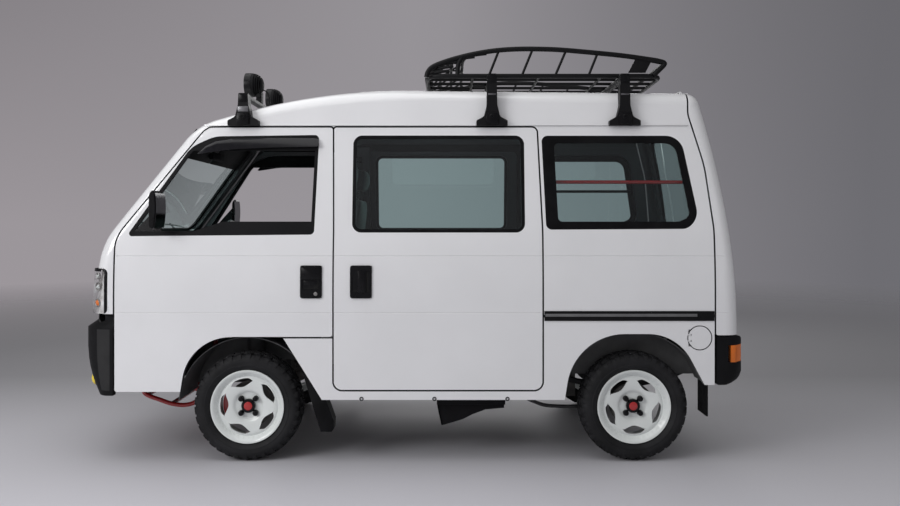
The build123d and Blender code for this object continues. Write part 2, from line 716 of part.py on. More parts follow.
# ---------------------------------------------------------------- door furniture
BELT_TRIM = (
    (-1500, 1090, 0),
    (-1500, 1128, 0),
    (-1075, 1128, 60),
    (-930, 1176, 60),
    (-400, 1176, 0),
    (-400, 1090, 0),
)
VISOR = ((-1160, 1520, 0), (-1160, 1640, 0), (-400, 1640, 0), (-400, 1528, 0), (-1090, 1528, 60))
MIRROR_BASE = ((-1400, 1120, 0), (-1270, 1300, 0), (-1270, 1120, 0))
MIRROR_IN_Y = -BODY_HALF - 5
MIRROR_OUT_Y = -BODY_HALF - 95
# mirror head seen from the side: x, z, corner radius
MIRROR_HEAD = ((-1262, 1134, 16), (-1300, 1148, 28), (-1297, 1312, 34), (-1256, 1332, 16), (-1240, 1240, 250))
window_inner = side_prism(FRONT_WINDOW, grow=-SEAL_W)
with BuildPart() as door_frame_trim:
    add(seal_ring(FRONT_WINDOW, left_prism))
    add(SEAL_LAYER & (side_prism(BELT_TRIM) & side_prism(FRONT_WINDOW)))
    add(SEAL_LAYER & (side_prism(VISOR) & side_prism(FRONT_WINDOW)))
with BuildPart() as mirror_head:
    add(side_prism(MIRROR_HEAD, near=-MIRROR_IN_Y, far=-MIRROR_OUT_Y))
    fillet(mirror_head.edges().filter_by(Axis.Y, reverse=True), 6)
with BuildPart() as door_mirror_left:
    add(SEAL_LAYER & (side_prism(MIRROR_BASE) & window_inner))
    add(door_frame_trim.part, mode=Mode.SUBTRACT)
    add(rod((-1284, -BODY_HALF + 34, 1188), (-1284, MIRROR_IN_Y - 20, 1200), 12))
    add(mirror_head.part)
save(door_mirror_left, "door_mirror_left")
with BuildPart() as door_mirror_right:
    add(to_right(door_mirror_left.part))
save(door_mirror_right, "door_mirror_right")


def handle_part(handle_x):
    with BuildPart(mode=Mode.PRIVATE) as made:
        add(handle_block(handle_x))
        with BuildSketch(Plane.XZ.offset(BODY_HALF - HANDLE_DEEP + 6)):
            with Locations((handle_x + 12, HANDLE_Z)):
                Rectangle(46, HANDLE_H - 28)
        extrude(amount=60, mode=Mode.SUBTRACT)
        grip_low = (handle_x - 6, -BODY_HALF - HANDLE_OUT, HANDLE_Z - 70)
        add(block(grip_low, (handle_x + 14, -BODY_HALF + 8, HANDLE_Z + 70)))
    return made.part


with BuildPart() as door_trim_left:
    add(door_frame_trim.part)
    add(handle_part(FRONT_HANDLE_X))
save(door_trim_left, "door_trim_left")
with BuildPart() as door_trim_right:
    add(to_right(door_trim_left.part))
save(door_trim_right, "door_trim_right")

# rubber strips that carry the sliding doors in their sills and roof rails
RAIL_LOW_Z = 692
RAIL_HIGH_Z = 740
with BuildPart() as sliding_door_fittings:
    add(handle_part(SLIDING_HANDLE_X))
    waist_end = TAIL_EDGE_X - SHUT_GAP - 2
    waist_start = SLIDE_REAR_X + SHUT_GAP
    add(block((waist_start + 2, -BODY_HALF - 4, RAIL_LOW_Z), (waist_end, -BODY_HALF, RAIL_HIGH_Z)))
    add(block((waist_start, -BODY_HALF - 6, 710), (waist_end, -BODY_HALF, 722)))
    add(block((-330, -BODY_HALF + 11.5, 348.3), (590, -BODY_HALF + 29.5, 355.7)))
    mirror(about=Plane.XZ)
save(sliding_door_fittings, "sliding_door_fittings")

# ---------------------------------------------------------------- filler flap
with BuildPart() as fuel_flap:
    add(rod((FUEL_X, -BODY_HALF, FUEL_Z), (FUEL_X, -BODY_HALF + 4, FUEL_Z), FUEL_R))
    for low_z in (FUEL_Z - 18, FUEL_Z + 12):
        room_low = (FUEL_X - FUEL_R - 14, FLAP_PIN_Y - 9, low_z - 1)
        add(block(room_low, (FLAP_PIN_X + 7, FLAP_PIN_Y + 9, low_z + 7)), mode=Mode.SUBTRACT)
    add(rod((FLAP_PIN_X, FLAP_PIN_Y, FUEL_Z - 11), (FLAP_PIN_X, FLAP_PIN_Y, FUEL_Z + 11), 5))
    pin_low = (FLAP_PIN_X, FLAP_PIN_Y, FUEL_Z - 15)
    add(rod(pin_low, (FLAP_PIN_X, FLAP_PIN_Y, FUEL_Z + 15), 2 + SEAT_GAP), mode=Mode.SUBTRACT)
save(fuel_flap, "fuel_flap")

# ---------------------------------------------------------------- rear bumper lamps and fog lamps
TAIL_LAMP = ((1540, -BODY_HALF - 22, 490), (1700, -BODY_HALF + 227, 572))
FOG_Y = 520
FOG_Z = 392
FOG_R = 42
with BuildPart() as lamp_room:
    add(block(*TAIL_LAMP))
    add(to_right(block(*TAIL_LAMP)))
with BuildPart() as tail_lamps:
    add(plain_rear_bumper.part)
    add(lamp_room.part, mode=Mode.INTERSECT)
save(tail_lamps, "tail_lamps")
with BuildPart() as rear_bumper:
    add(plain_rear_bumper.part)
    add(lamp_room.part, mode=Mode.SUBTRACT)
save(rear_bumper, "rear_bumper")
with BuildPart() as fog_lamps:
    add(rod((-1632, -FOG_Y, FOG_Z), (-1560, -FOG_Y, FOG_Z), FOG_R))
    mirror(about=Plane.XZ)
save(fog_lamps, "fog_lamps")
PLATE_W = 336  # flat holder for a number plate, which stays bare
PLATE_H = 170
PLATE_Z = 545
PLATE_X = -1648
with BuildPart() as front_bumper:
    add(plain_front_bumper.part)
    plate_low = (PLATE_X, -PLATE_W / 2, PLATE_Z - PLATE_H / 2)
    add(block(plate_low, (PLATE_X + 48, PLATE_W / 2, PLATE_Z + PLATE_H / 2)))
    add(INSIDE, mode=Mode.SUBTRACT)
    for side in (-1, 1):
        fog_y = side * FOG_Y
        add(rod((-1700, fog_y, FOG_Z), (-1500, fog_y, FOG_Z), FOG_R + SEAT_GAP), mode=Mode.SUBTRACT)
save(front_bumper, "front_bumper")

# ---------------------------------------------------------------- front suspension and steering
BEAM_Z = 225
LINK_Z = 215
KNUCKLE_LOW_Z = 230
KNUCKLE_TOP_Z = 400
KNUCKLE_GAP = 0.5
ARM_Z = TYRE_R + 20
SPINDLE_R = 28
with BuildPart() as front_suspension:
    add(block((AXLE_FRONT_X - 48, -RAIL_Y + 20, 200), (AXLE_FRONT_X + 48, RAIL_Y - 20, 250)))
    for side in (-1, 1):
        rail_y = side * RAIL_Y
        strut_y = side * KINGPIN_Y
        add(rod((AXLE_FRONT_X, rail_y, BEAM_Z), (AXLE_FRONT_X, rail_y, RAIL_UNDER_Z - SEAT_GAP), 24))
        add(rod((AXLE_FRONT_X, side * (RAIL_Y - 60), LINK_Z), (AXLE_FRONT_X, strut_y, LINK_Z), 14))
        add(rod((AXLE_FRONT_X - 40, side * (RAIL_Y - 40), BEAM_Z), (AXLE_FRONT_X, strut_y, LINK_Z), 12))
        add(rod((AXLE_FRONT_X, strut_y, LINK_Z - 20), (AXLE_FRONT_X, strut_y, KNUCKLE_LOW_Z), 22))
        strut_top = (AXLE_FRONT_X, strut_y, FLOOR_Z - FLOOR_T - SEAT_GAP)
        add(rod((AXLE_FRONT_X, strut_y, KNUCKLE_TOP_Z), strut_top, 22))
        add(rod((AXLE_FRONT_X, strut_y, 450), (AXLE_FRONT_X, strut_y, 600), 46))
save(front_suspension, "front_suspension")
for side, side_name in ((-1, "left"), (1, "right")):
    pin_y = side * KINGPIN_Y
    spindle_in = (AXLE_FRONT_X, pin_y, TYRE_R)
    spindle_out = (AXLE_FRONT_X, side * (TRACK_HALF + HUB_FACE - 12 - SEAT_GAP), TYRE_R)
    with BuildPart() as knuckle:
        pin_low = (AXLE_FRONT_X, pin_y, KNUCKLE_LOW_Z + KNUCKLE_GAP)
        add(rod(pin_low, (AXLE_FRONT_X, pin_y, KNUCKLE_TOP_Z - KNUCKLE_GAP), 24))
        add(rod(spindle_in, spindle_out, SPINDLE_R))
        add(rod((AXLE_FRONT_X, pin_y, ARM_Z), (AXLE_FRONT_X + 110, pin_y - side * 8, ARM_Z), 11))
    save(knuckle, "knuckle_" + side_name)
    pad_y = side * (TRACK_HALF - 42)
    with BuildPart() as caliper:
        with BuildSketch(Plane.XZ.offset(-side * (TRACK_HALF - 44))):
            with Locations((AXLE_FRONT_X, TYRE_R)):
                Circle(134)
                Circle(76, mode=Mode.SUBTRACT)
            with Locations((AXLE_FRONT_X - 105, TYRE_R)):
                Rectangle(80, 110, mode=Mode.INTERSECT)
        extrude(amount=-side * 46)
        with BuildSketch(Plane.XZ.offset(-side * (TRACK_HALF - 27))):
            with Locations((AXLE_FRONT_X, TYRE_R)):
                Circle(120)
        extrude(amount=-side * 22, mode=Mode.SUBTRACT)
        add(rod((AXLE_FRONT_X - 82, pad_y, TYRE_R), (AXLE_FRONT_X - 26, pad_y, TYRE_R), 12))
        spindle_end = (AXLE_FRONT_X, side * BODY_HALF, TYRE_R)
        add(rod(spindle_in, spindle_end, SPINDLE_R + SEAT_GAP), mode=Mode.SUBTRACT)
    save(caliper, "caliper_" + side_name)

# ---------------------------------------------------------------- rear axle on leaf springs
SPRING_Y = RAIL_Y
DRUM_Y = TRACK_HALF - 42.5
with BuildPart() as rear_axle:
    add(rod((AXLE_REAR_X, -DRUM_Y, TYRE_R), (AXLE_REAR_X, DRUM_Y, TYRE_R), 32))
    for side in (-1, 1):
        plate_in = (AXLE_REAR_X, side * (DRUM_Y - 2), TYRE_R)
        plate_out = (AXLE_REAR_X, side * (TRACK_HALF - 36 - SEAT_GAP), TYRE_R)
        add(rod(plate_in, plate_out, 104))
        axle_end = (AXLE_REAR_X, side * (TRACK_HALF + HUB_FACE - 14 - SEAT_GAP), TYRE_R)
        add(rod(plate_in, axle_end, 25))
        with BuildSketch(Plane.XZ.offset(-side * SPRING_Y - 25)):
            with BuildLine():
                upper_leaf = ThreePointArc((660, 410), (AXLE_REAR_X, 322), (1440, 410))
                offset(upper_leaf, amount=24, side=Side.RIGHT)
            make_face()
        extrude(amount=50)
        for eye_x in (668, 1432):
            eye_low = (eye_x - 14, side * SPRING_Y - 22, 380)
            add(block(eye_low, (eye_x + 14, side * SPRING_Y + 22, RAIL_UNDER_Z - SEAT_GAP)))
save(rear_axle, "rear_axle")

# ---------------------------------------------------------------- engine, tank, exhaust
with BuildPart() as engine:
    add(block((480, -260, 235), (860, 260, RAIL_UNDER_Z - SEAT_GAP)))
save(engine, "engine")
with BuildPart() as fuel_tank:
    add(rounded_block((-410, -270, 330), (120, 270, RAIL_UNDER_Z - SEAT_GAP), 30))
save(fuel_tank, "fuel_tank")
with BuildPart() as exhaust:
    add(rod((1320, -240, 400), (1320, 240, 400), 70))
    add(rod((1320, 200, 355), (1600, 200, 355), 18))
    add(block((1385, -30, 420), (1415, 30, RAIL_UNDER_Z - SEAT_GAP)))
    add(block((1330, -30, 420), (1415, 30, 450)))
save(exhaust, "exhaust")

# ---------------------------------------------------------------- wheel housings
HOUSING_T = 3
HOUSING_OUT_Y = BODY_HALF - WALL - 5.5
FLOOR_UNDER_Z = FLOOR_Z - FLOOR_T
# housing: axle x, radius, where its inner wall stands, lower end of its wall, front and rear ends
HOUSINGS = (
    (AXLE_FRONT_X, TYRE_R + 72, RAIL_Y + RAIL_W / 2 + SEAT_GAP, 330, 300, 450),
    (AXLE_REAR_X, FLOOR_UNDER_Z - SEAT_GAP - TYRE_R - HOUSING_T, TRACK_HALF - TYRE_W / 2 - 24, 400, 310, 385),
)
with BuildPart() as wheel_housings:
    for axle_x, housing_r, wall_y, wall_z, front_z, rear_z in HOUSINGS:
        with BuildSketch(Plane.XZ.offset(wall_y)):
            with Locations((axle_x, TYRE_R)):
                Circle(housing_r + HOUSING_T)
            with Locations((axle_x - 500, front_z - 500), (axle_x + 500, rear_z - 500)):
                Rectangle(1000, 1000, mode=Mode.SUBTRACT)
        extrude(amount=HOUSING_OUT_Y - wall_y)
        with BuildSketch(Plane.XZ.offset(wall_y + HOUSING_T)):
            with Locations((axle_x, TYRE_R)):
                Circle(housing_r)
        extrude(amount=HOUSING_OUT_Y, mode=Mode.SUBTRACT)
        add(block((axle_x - 500, -wall_y - 5, 200), (axle_x + 500, -wall_y + 5, wall_z)), mode=Mode.SUBTRACT)
    add(rod((AXLE_FRONT_X, -KINGPIN_Y, 500), (AXLE_FRONT_X, -KINGPIN_Y, 640), 24), mode=Mode.SUBTRACT)
    mirror(about=Plane.XZ)
save(wheel_housings, "wheel_housings")

# ---------------------------------------------------------------- mud flaps and under guard
FLAP_T = 6
FLAP_OUT_Y = -BODY_HALF + 7.5
FLAP_IN_Y = FLAP_OUT_Y + 145
with BuildPart() as mud_flaps:
    arch_lining = side_prism(FRONT_ARCH, grow=-SEAT_GAP) - side_prism(FRONT_ARCH, grow=-SEAT_GAP - FLAP_T)
    add(arch_lining & block((-600, FLAP_OUT_Y, 300), (-400, FLAP_IN_Y, 445)))
    add(block((-441, FLAP_OUT_Y, 155), (-434, FLAP_IN_Y, SILL_Z - SEAT_GAP)))
    add(block((1436, FLAP_OUT_Y, 225), (1443, FLAP_IN_Y, 380 - SEAT_GAP)))
    mirror(about=Plane.XZ)
save(mud_flaps, "mud_flaps")
GUARD_Y = RAIL_Y + 15
GUARD_R = 14
GUARD_REAR_X = -1060
GUARD_LINE = ((-1440, 380), (-1310, 335), (-1130, 285), (GUARD_REAR_X, 330))
with BuildPart() as under_guard:
    for side in (-1, 1):
        guard_y = side * GUARD_Y
        guard_top = RAIL_UNDER_Z - SEAT_GAP
        guard_line = [(x, guard_y, z) for x, z in GUARD_LINE]
        add(tube_path(guard_line + [(GUARD_REAR_X, guard_y, guard_top)], 50, GUARD_R))
    add(rod((-1180, -GUARD_Y, 299), (-1180, GUARD_Y, 299), GUARD_R))
save(under_guard, "under_guard")

# ---------------------------------------------------------------- roof bars, lamps and basket
# bar: x, height of its middle
ROOF_BARS = ((-839, 1800), (392, 1896), (1050, 1896))
BAR_HALF = BODY_HALF - 72.5
BAR_W = 34
BAR_H = 24
FOOT_W = 56
FOOT_Y = BAR_HALF - 13
# a bar's foot seen from the side: distance from the bar, height, corner radius
FOOT_SIDE = ((77, GUTTER_Z, 0), (77, GUTTER_Z + 24, 6), (40, GUTTER_Z + 44, 18), (26, GUTTER_Z + 100, 24))
with BuildPart() as roof_bars:
    for bar_x, bar_z in ROOF_BARS:
        with BuildSketch(Plane.XZ.offset(-BAR_HALF)):
            with Locations((bar_x, bar_z)):
                RectangleRounded(BAR_W, BAR_H, 9)
        extrude(amount=2 * BAR_HALF)
        rows = [(bar_x - w, z, r) for w, z, r in FOOT_SIDE]
        rows += [(bar_x - 23, bar_z + BAR_H / 2, 6), (bar_x + 23, bar_z + BAR_H / 2, 6)]
        rows += [(bar_x + w, z, r) for w, z, r in reversed(FOOT_SIDE)]
        foot = side_prism(rows, near=FOOT_Y - FOOT_W / 2, far=FOOT_Y + FOOT_W / 2)
        add(foot)
        add(to_right(foot))
    add(SKIN, mode=Mode.SUBTRACT)
save(roof_bars, "roof_bars")
LAMP_Y = 257
LAMP_Z = 1914
LAMP_R = 63
LAMP_FRONT_X = -912
LAMP_FINS = 4
LAMP_FOOT_Z = ROOF_BARS[0][1] + BAR_H / 2 + SEAT_GAP
with BuildPart() as roof_lamps:
    with BuildSketch(Plane.XZ.offset(LAMP_Y)):
        with BuildLine():
            rim = Polyline(
                (LAMP_FRONT_X + 8, LAMP_Z),
                (LAMP_FRONT_X + 8, LAMP_Z + LAMP_R - 7),
                (LAMP_FRONT_X, LAMP_Z + LAMP_R - 7),
                (LAMP_FRONT_X, LAMP_Z + LAMP_R),
                (LAMP_FRONT_X + 38, LAMP_Z + LAMP_R),
            )
            crown = (LAMP_FRONT_X + 76, LAMP_Z + LAMP_R - 20)
            back = ThreePointArc(rim @ 1, crown, (LAMP_FRONT_X + 90, LAMP_Z))
            Line(back @ 1, rim @ 0)
        make_face()
        for fin in range(LAMP_FINS):
            with Locations((LAMP_FRONT_X + 46 + 10 * fin, LAMP_Z + LAMP_R)):
                Rectangle(4, 2 * (14 + 7 * fin), mode=Mode.SUBTRACT)
    revolve(axis=Axis((0, -LAMP_Y, LAMP_Z), (1, 0, 0)))
    lamp_foot = (LAMP_FRONT_X + 52, -LAMP_Y - 20, LAMP_FOOT_Z)
    add(block(lamp_foot, (LAMP_FRONT_X + 82, -LAMP_Y + 20, LAMP_Z - 40)))
    mirror(about=Plane.XZ)
save(roof_lamps, "roof_lamps")
BASKET_HALF = 510
BASKET_FRONT = 64
BASKET_REAR = 1262
BASE_R = 11.5
BASE_Z = ROOF_BARS[1][1] + BAR_H / 2 + BASE_R + SEAT_GAP
SIDE_R = 12.5
SLAT_R = 8
POST_R = 6.5
# top rail seen from the side, from its front end back to where it turns down to the base: x, z
TOP_RAIL = (
    (64, BASE_Z),
    (70, 1945),
    (160, 1995),
    (345, 2039),
    (560, 2058),
    (963, 2035),
    (1235, 1999),
    (1287, 1984),
    (1222, BASE_Z),
)
TOP_BENDS = (14, 300, 700, 1200, 2000, 100, 20)
# cross bars of the open front: x, z
FRONT_BARS = ((66, 1935), (84, 1956), (128, 1978), (190, 2003), (250, 2017))
# posts of the sides: x at the base, x and z at the top rail
POSTS = ((222, 232, 2010), (382, 434, 2047), (550, 606, 2056), (720, 776, 2046), (890, 937, 2036))
LACE_STEP = 102
LACE_R = 5
with BuildPart() as basket_half:
    add(tube_path([(x, -BASKET_HALF, z) for x, z in TOP_RAIL], TOP_BENDS, SIDE_R))
    for base_x, top_x, top_z in POSTS:
        add(rod((base_x, -BASKET_HALF, BASE_Z), (top_x, -BASKET_HALF, top_z), POST_R))
    plate = ((1092, 1930, 0), (1130, 2004, 0), (1212, 1992, 0), (1180, 1930, 0))
    add(side_prism(plate, near=BASKET_HALF - 5, far=BASKET_HALF + 5))
with BuildPart() as roof_basket:
    add(basket_half.part)
    add(to_right(basket_half.part))
    for bar_x, bar_z in FRONT_BARS:
        add(rod((bar_x, -BASKET_HALF, bar_z), (bar_x, BASKET_HALF, bar_z), SLAT_R + 0.5))
    for (low_x, low_z), (high_x, high_z) in zip(FRONT_BARS, FRONT_BARS[1:]):
        lean = LACE_STEP / 2 if FRONT_BARS.index((low_x, low_z)) % 2 else -LACE_STEP / 2
        for lace in range(-4, 5):
            lace_y = lace * LACE_STEP
            add(rod((low_x, lace_y - lean / 2, low_z), (high_x, lace_y + lean / 2, high_z), LACE_R))
    for bar_x in (BASKET_FRONT, BASKET_REAR):
        add(rod((bar_x, -BASKET_HALF, BASE_Z), (bar_x, BASKET_HALF, BASE_Z), BASE_R))
    for side in (-1, 1):
        edge_y = side * BASKET_HALF
        add(rod((BASKET_FRONT, edge_y, BASE_Z), (BASKET_REAR, edge_y, BASE_Z), BASE_R))
    add(rod((1283, -BASKET_HALF, 1985), (1283, BASKET_HALF, 1985), BASE_R))
    for slat_y in (-400, -270, -135, 0, 135, 270, 400):
        add(rod((BASKET_FRONT, slat_y, BASE_Z), (BASKET_REAR, slat_y, BASE_Z), SLAT_R))
save(roof_basket, "roof_basket")

# ---------------------------------------------------------------- cabin
DASH_HALF = BODY_HALF - 97.5
# cross section of the dashboard: x, z, corner radius
DASH_SIDE = (
    (-1640, 800, 0),
    (-1640, 1080, 0),
    (-1350, 1085, 30),
    (-1270, 1040, 18),
    (-1280, 900, 20),
    (-1330, 800, 10),
)
with BuildPart() as plain_dashboard:
    add(side_prism(DASH_SIDE, near=-DASH_HALF, far=DASH_HALF))
    add(ROOM, mode=Mode.INTERSECT)
WHEEL_Y = 330  # the driver sits on the right
WHEEL_PLACE = Vector(-1050, WHEEL_Y, 1030)
WHEEL_AXIS = Vector(0.8, 0, 0.6)
with BuildPart() as dashboard:
    add(plain_dashboard.part)
    add(rod(tuple(WHEEL_PLACE - WHEEL_AXIS * (20 + SEAT_GAP)), tuple(WHEEL_PLACE - WHEEL_AXIS * 350), 26))
save(dashboard, "dashboard")
with BuildPart() as steering_wheel:
    with BuildSketch(Plane(origin=tuple(WHEEL_PLACE), x_dir=(0, 1, 0), z_dir=tuple(WHEEL_AXIS))):
        Circle(40)
    extrude(amount=20, both=True)
    with BuildSketch(Plane(origin=tuple(WHEEL_PLACE), x_dir=(0, 1, 0), z_dir=tuple(WHEEL_AXIS))):
        Rectangle(360, 30)
        with Locations((0, -90)):
            Rectangle(30, 180)
    extrude(amount=6, both=True)
    rim_plane = Plane(origin=tuple(WHEEL_PLACE), x_dir=(0, 1, 0), z_dir=(WHEEL_AXIS.Z, 0, -WHEEL_AXIS.X))
    with BuildSketch(rim_plane):
        with Locations((182, 0)):
            Circle(13)
    revolve(axis=Axis(tuple(WHEEL_PLACE), tuple(WHEEL_AXIS)))
save(steering_wheel, "steering_wheel")
SEAT_FOOT_Z = FLOOR_Z + SEAT_GAP
SEAT_Y = 320
SEAT_HALF = 225
# front seat and rear bench from the side: x, z, corner radius
FRONT_SEAT = (
    (-830, SEAT_FOOT_Z, 0),
    (-850, 770, 50),
    (-480, 790, 60),
    (-390, 1340, 40),
    (-290, 1335, 40),
    (-330, 760, 40),
    (-340, SEAT_FOOT_Z, 0),
)
REAR_BENCH = (
    (150, SEAT_FOOT_Z, 0),
    (140, 800, 50),
    (560, 810, 50),
    (620, 1200, 30),
    (700, 1195, 30),
    (670, SEAT_FOOT_Z, 0),
)
BENCH_HALF = 560
with BuildPart() as front_seats:
    for side in (-1, 1):
        add(side_prism(FRONT_SEAT, near=side * SEAT_Y - SEAT_HALF, far=side * SEAT_Y + SEAT_HALF))
        add(block((-400, side * SEAT_Y - 120, 1330), (-310, side * SEAT_Y + 120, 1500)))
save(front_seats, "front_seats")
with BuildPart() as rear_seat:
    add(side_prism(REAR_BENCH, near=-BENCH_HALF, far=BENCH_HALF))
save(rear_seat, "rear_seat")
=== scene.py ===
import json
from math import cos, pi, radians, sin, sqrt

import bmesh
import bpy
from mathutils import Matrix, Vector
from mathutils.bvhtree import BVHTree


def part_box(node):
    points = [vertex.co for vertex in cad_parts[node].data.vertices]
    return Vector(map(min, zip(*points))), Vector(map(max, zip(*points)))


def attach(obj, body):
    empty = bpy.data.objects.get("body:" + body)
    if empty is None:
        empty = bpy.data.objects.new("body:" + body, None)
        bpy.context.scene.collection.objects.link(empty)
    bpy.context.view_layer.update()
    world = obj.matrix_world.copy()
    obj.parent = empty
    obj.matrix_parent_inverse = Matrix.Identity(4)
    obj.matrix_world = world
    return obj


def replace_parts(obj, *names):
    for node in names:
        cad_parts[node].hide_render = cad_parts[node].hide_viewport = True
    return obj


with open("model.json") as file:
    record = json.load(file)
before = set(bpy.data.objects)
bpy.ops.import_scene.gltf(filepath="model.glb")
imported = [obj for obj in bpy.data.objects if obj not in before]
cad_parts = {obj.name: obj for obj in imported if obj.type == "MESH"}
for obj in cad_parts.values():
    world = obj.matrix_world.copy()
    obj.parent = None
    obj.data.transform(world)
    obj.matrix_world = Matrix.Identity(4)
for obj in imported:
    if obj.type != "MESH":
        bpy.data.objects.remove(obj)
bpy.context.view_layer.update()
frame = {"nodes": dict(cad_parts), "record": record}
NODES = frame["nodes"]
CORNERS = ("front_left", "front_right", "rear_left", "rear_right")
SIDES = ((-1, "left"), (1, "right"))
MM = 0.001
CABIN_MIDDLE = Vector((0, 0, 1.1))

# ---------------------------------------------------------------- camera
PHOTO_WIDTH = 900
FOCAL_PX = 821
HORIZON_PX = -29  # how far the horizon lies above the middle of the picture
SENSOR = 36
CAMERA_PLACE = (0.184, -4.697, 1.164)
camera_data = bpy.data.cameras.new("camera")
camera_data.sensor_width = SENSOR
camera_data.lens = FOCAL_PX / PHOTO_WIDTH * SENSOR
camera_data.shift_y = HORIZON_PX / PHOTO_WIDTH
camera = bpy.data.objects.new("camera", camera_data)
camera.location = CAMERA_PLACE
camera.rotation_euler = (radians(90), 0, 0)
bpy.context.scene.collection.objects.link(camera)
bpy.context.scene.camera = camera


# ---------------------------------------------------------------- materials
LOOKS = {}


class Nodes:
    """Short calls for the nodes of one tree."""

    def __init__(self, tree):
        self.tree = tree

    def link(self, start, end):
        self.tree.links.new(start, end)

    def node(self, kind, *feeds, **values):
        """New node: feeds fill its sockets in order; values go by name, with _ for a space."""
        made = self.tree.nodes.new("ShaderNode" + kind)
        for name, value in values.items():
            socket = name.replace("_", " ")
            if socket in made.inputs:
                made.inputs[socket].default_value = value
            else:
                setattr(made, name, value)
        for feed, socket in zip(feeds, made.inputs):
            if isinstance(feed, bpy.types.NodeSocket):
                self.link(feed, socket)
            else:
                socket.default_value = feed
        return made

    def show_mix(self, share, first, second, output):
        mix = self.node("MixShader", share, first.outputs[0], second.outputs[0])
        self.link(mix.outputs[0], self.tree.nodes[output].inputs["Surface"])


class Look(Nodes):
    """A material with one Principled shader and its patterns."""

    def __init__(self, name, colour, roughness, **sockets):
        LOOKS[name] = self
        self.material = bpy.data.materials.new(name)
        self.material.use_nodes = True
        super().__init__(self.material.node_tree)
        self.shader = self.tree.nodes["Principled BSDF"]
        self.shader.inputs["Base Color"].default_value = (*colour, 1)
        self.shader.inputs["Roughness"].default_value = roughness
        for socket, value in sockets.items():
            self.shader.inputs[socket.replace("_", " ")].default_value = value
        self.place = self.tree.nodes.new("ShaderNodeTexCoord")

    def noise(self, scale, detail=3):
        made = self.node("TexNoise", Scale=scale, Detail=detail)
        self.link(self.place.outputs["Object"], made.inputs["Vector"])
        return made.outputs["Fac"]

    def ramp(self, value, low, high, colours):
        made = self.node("ValToRGB", value)
        made.color_ramp.elements[0].position = low
        made.color_ramp.elements[1].position = high
        for element, colour in zip(made.color_ramp.elements, colours):
            element.color = (*colour, 1)
        return made.outputs["Color"]

    def tint(self, value, colours, low=0.3, high=0.7):
        self.link(self.ramp(value, low, high, colours), self.shader.inputs["Base Color"])
        return self

    def rough(self, value, least, most):
        spread = self.node("MapRange", value, To_Min=least, To_Max=most)
        self.link(spread.outputs["Result"], self.shader.inputs["Roughness"])
        return self

    def bump(self, value, depth, strength):
        made = self.node("Bump", Strength=strength, Distance=depth)
        self.link(value, made.inputs["Height"])
        self.link(made.outputs["Normal"], self.shader.inputs["Normal"])
        return self


def glass(name, colour, lamp_colour):
    """Clear pane: a glass shader for the eye, and a plain tint for rays from the lamps."""
    look = Look(name, colour, 0.0, Transmission_Weight=1.0, IOR=1.45)
    see = look.node("BsdfTransparent", Color=(*lamp_colour, 1))
    shadow = look.node("LightPath").outputs["Is Shadow Ray"]
    look.show_mix(shadow, look.shader, see, "Material Output")


def shades(colour, spread):
    """A darker and a lighter neighbour of a colour."""
    return tuple(c * (1 - spread) for c in colour), tuple(min(c * (1 + spread), 1) for c in colour)


def plastic(name, colour, roughness=0.55, grain=900, depth=0.0002, shine=0.5):
    look = Look(name, colour, roughness, Specular_IOR_Level=shine)
    look.tint(look.noise(14), shades(colour, 0.14)).rough(look.noise(40), roughness - 0.08, roughness + 0.1)
    look.bump(look.noise(grain, 2), depth, 0.5)


def paint(name, colour, roughness=0.3, coat=1.0):
    look = Look(name, colour, roughness, Coat_Weight=coat, Coat_Roughness=0.04)
    look.tint(look.noise(3.5), shades(colour, 0.02)).rough(look.noise(30), roughness - 0.05, roughness + 0.07)
    look.bump(look.noise(260, 2), 0.00012, 0.25)


def metal(name, colour, roughness=0.45, metallic=1.0):
    look = Look(name, colour, roughness, Metallic=metallic)
    look.tint(look.noise(22, 5), shades(colour, 0.3)).rough(look.noise(60, 4), roughness - 0.12, roughness + 0.15)
    look.bump(look.noise(420, 3), 0.0003, 0.4)


def cloth(name, colour):
    look = Look(name, colour, 0.85, Sheen_Weight=0.35, Sheen_Roughness=0.5)
    look.tint(look.noise(700, 2), shades(colour, 0.35))
    weave = look.node("TexWave", Scale=330, Distortion=1.2)
    look.link(look.place.outputs["Object"], weave.inputs["Vector"])
    look.bump(weave.outputs["Fac"], 0.0006, 0.5)


def rubber(name, colour=(0.004, 0.004, 0.0045), roughness=0.5, shine=0.1):
    look = Look(name, colour, roughness, Specular_IOR_Level=shine)
    look.tint(look.noise(9, 4), (colour, tuple(c * 2.2 for c in colour)), 0.35, 0.75)
    look.rough(look.noise(50), roughness - 0.12, roughness + 0.12).bump(look.noise(600, 3), 0.0002, 0.4)


WHITE = (0.79, 0.79, 0.81)
# near-black for faces turned into the cabin: trim colour and painted shade
INSIDE_TRIM_AND_SHADE = (0.045, 0.045, 0.05)
paint("white_paint", WHITE)
paint("wheel_white", (0.74, 0.77, 0.76), 0.34, 0.6)
paint("red_paint", (0.42, 0.012, 0.014), 0.35, 0.8)
plastic("black_steel", (0.007, 0.007, 0.008), 0.45, 260, 0.0001, 0.18)
metal("band_steel", (0.2, 0.2, 0.21), 0.4)
plastic("black_plastic", (0.0075, 0.0075, 0.0085), shine=0.12)
plastic("liner", (0.1, 0.1, 0.102), 0.6, shine=0.3)
plastic("smooth_plastic", (0.005, 0.005, 0.006), 0.28, 500, 0.0001, 0.2)
# paler copy of the bumper plastic for its side panels: painted light
plastic("bumper_panel_painted_light", (0.02, 0.02, 0.021), 0.6, shine=0.3)
plastic("smoke", (0.006, 0.006, 0.008), 0.16, 300, 0.00005, 0.35)
plastic("grey_plastic", (0.13, 0.13, 0.135), 0.6)
cloth("seat_cloth", (0.07, 0.07, 0.078))
cloth("belt_cloth", (0.03, 0.03, 0.032))
# near-black matte plate behind the handles: painted shade of the recess
plastic("recess_painted_shade", (0.004, 0.004, 0.004), 0.9)
metal("mirror_glass", (0.07, 0.072, 0.076), 0.06)
rubber("rubber")
rubber("tyre", (0.0095, 0.0095, 0.0105), 0.66, 0.25)
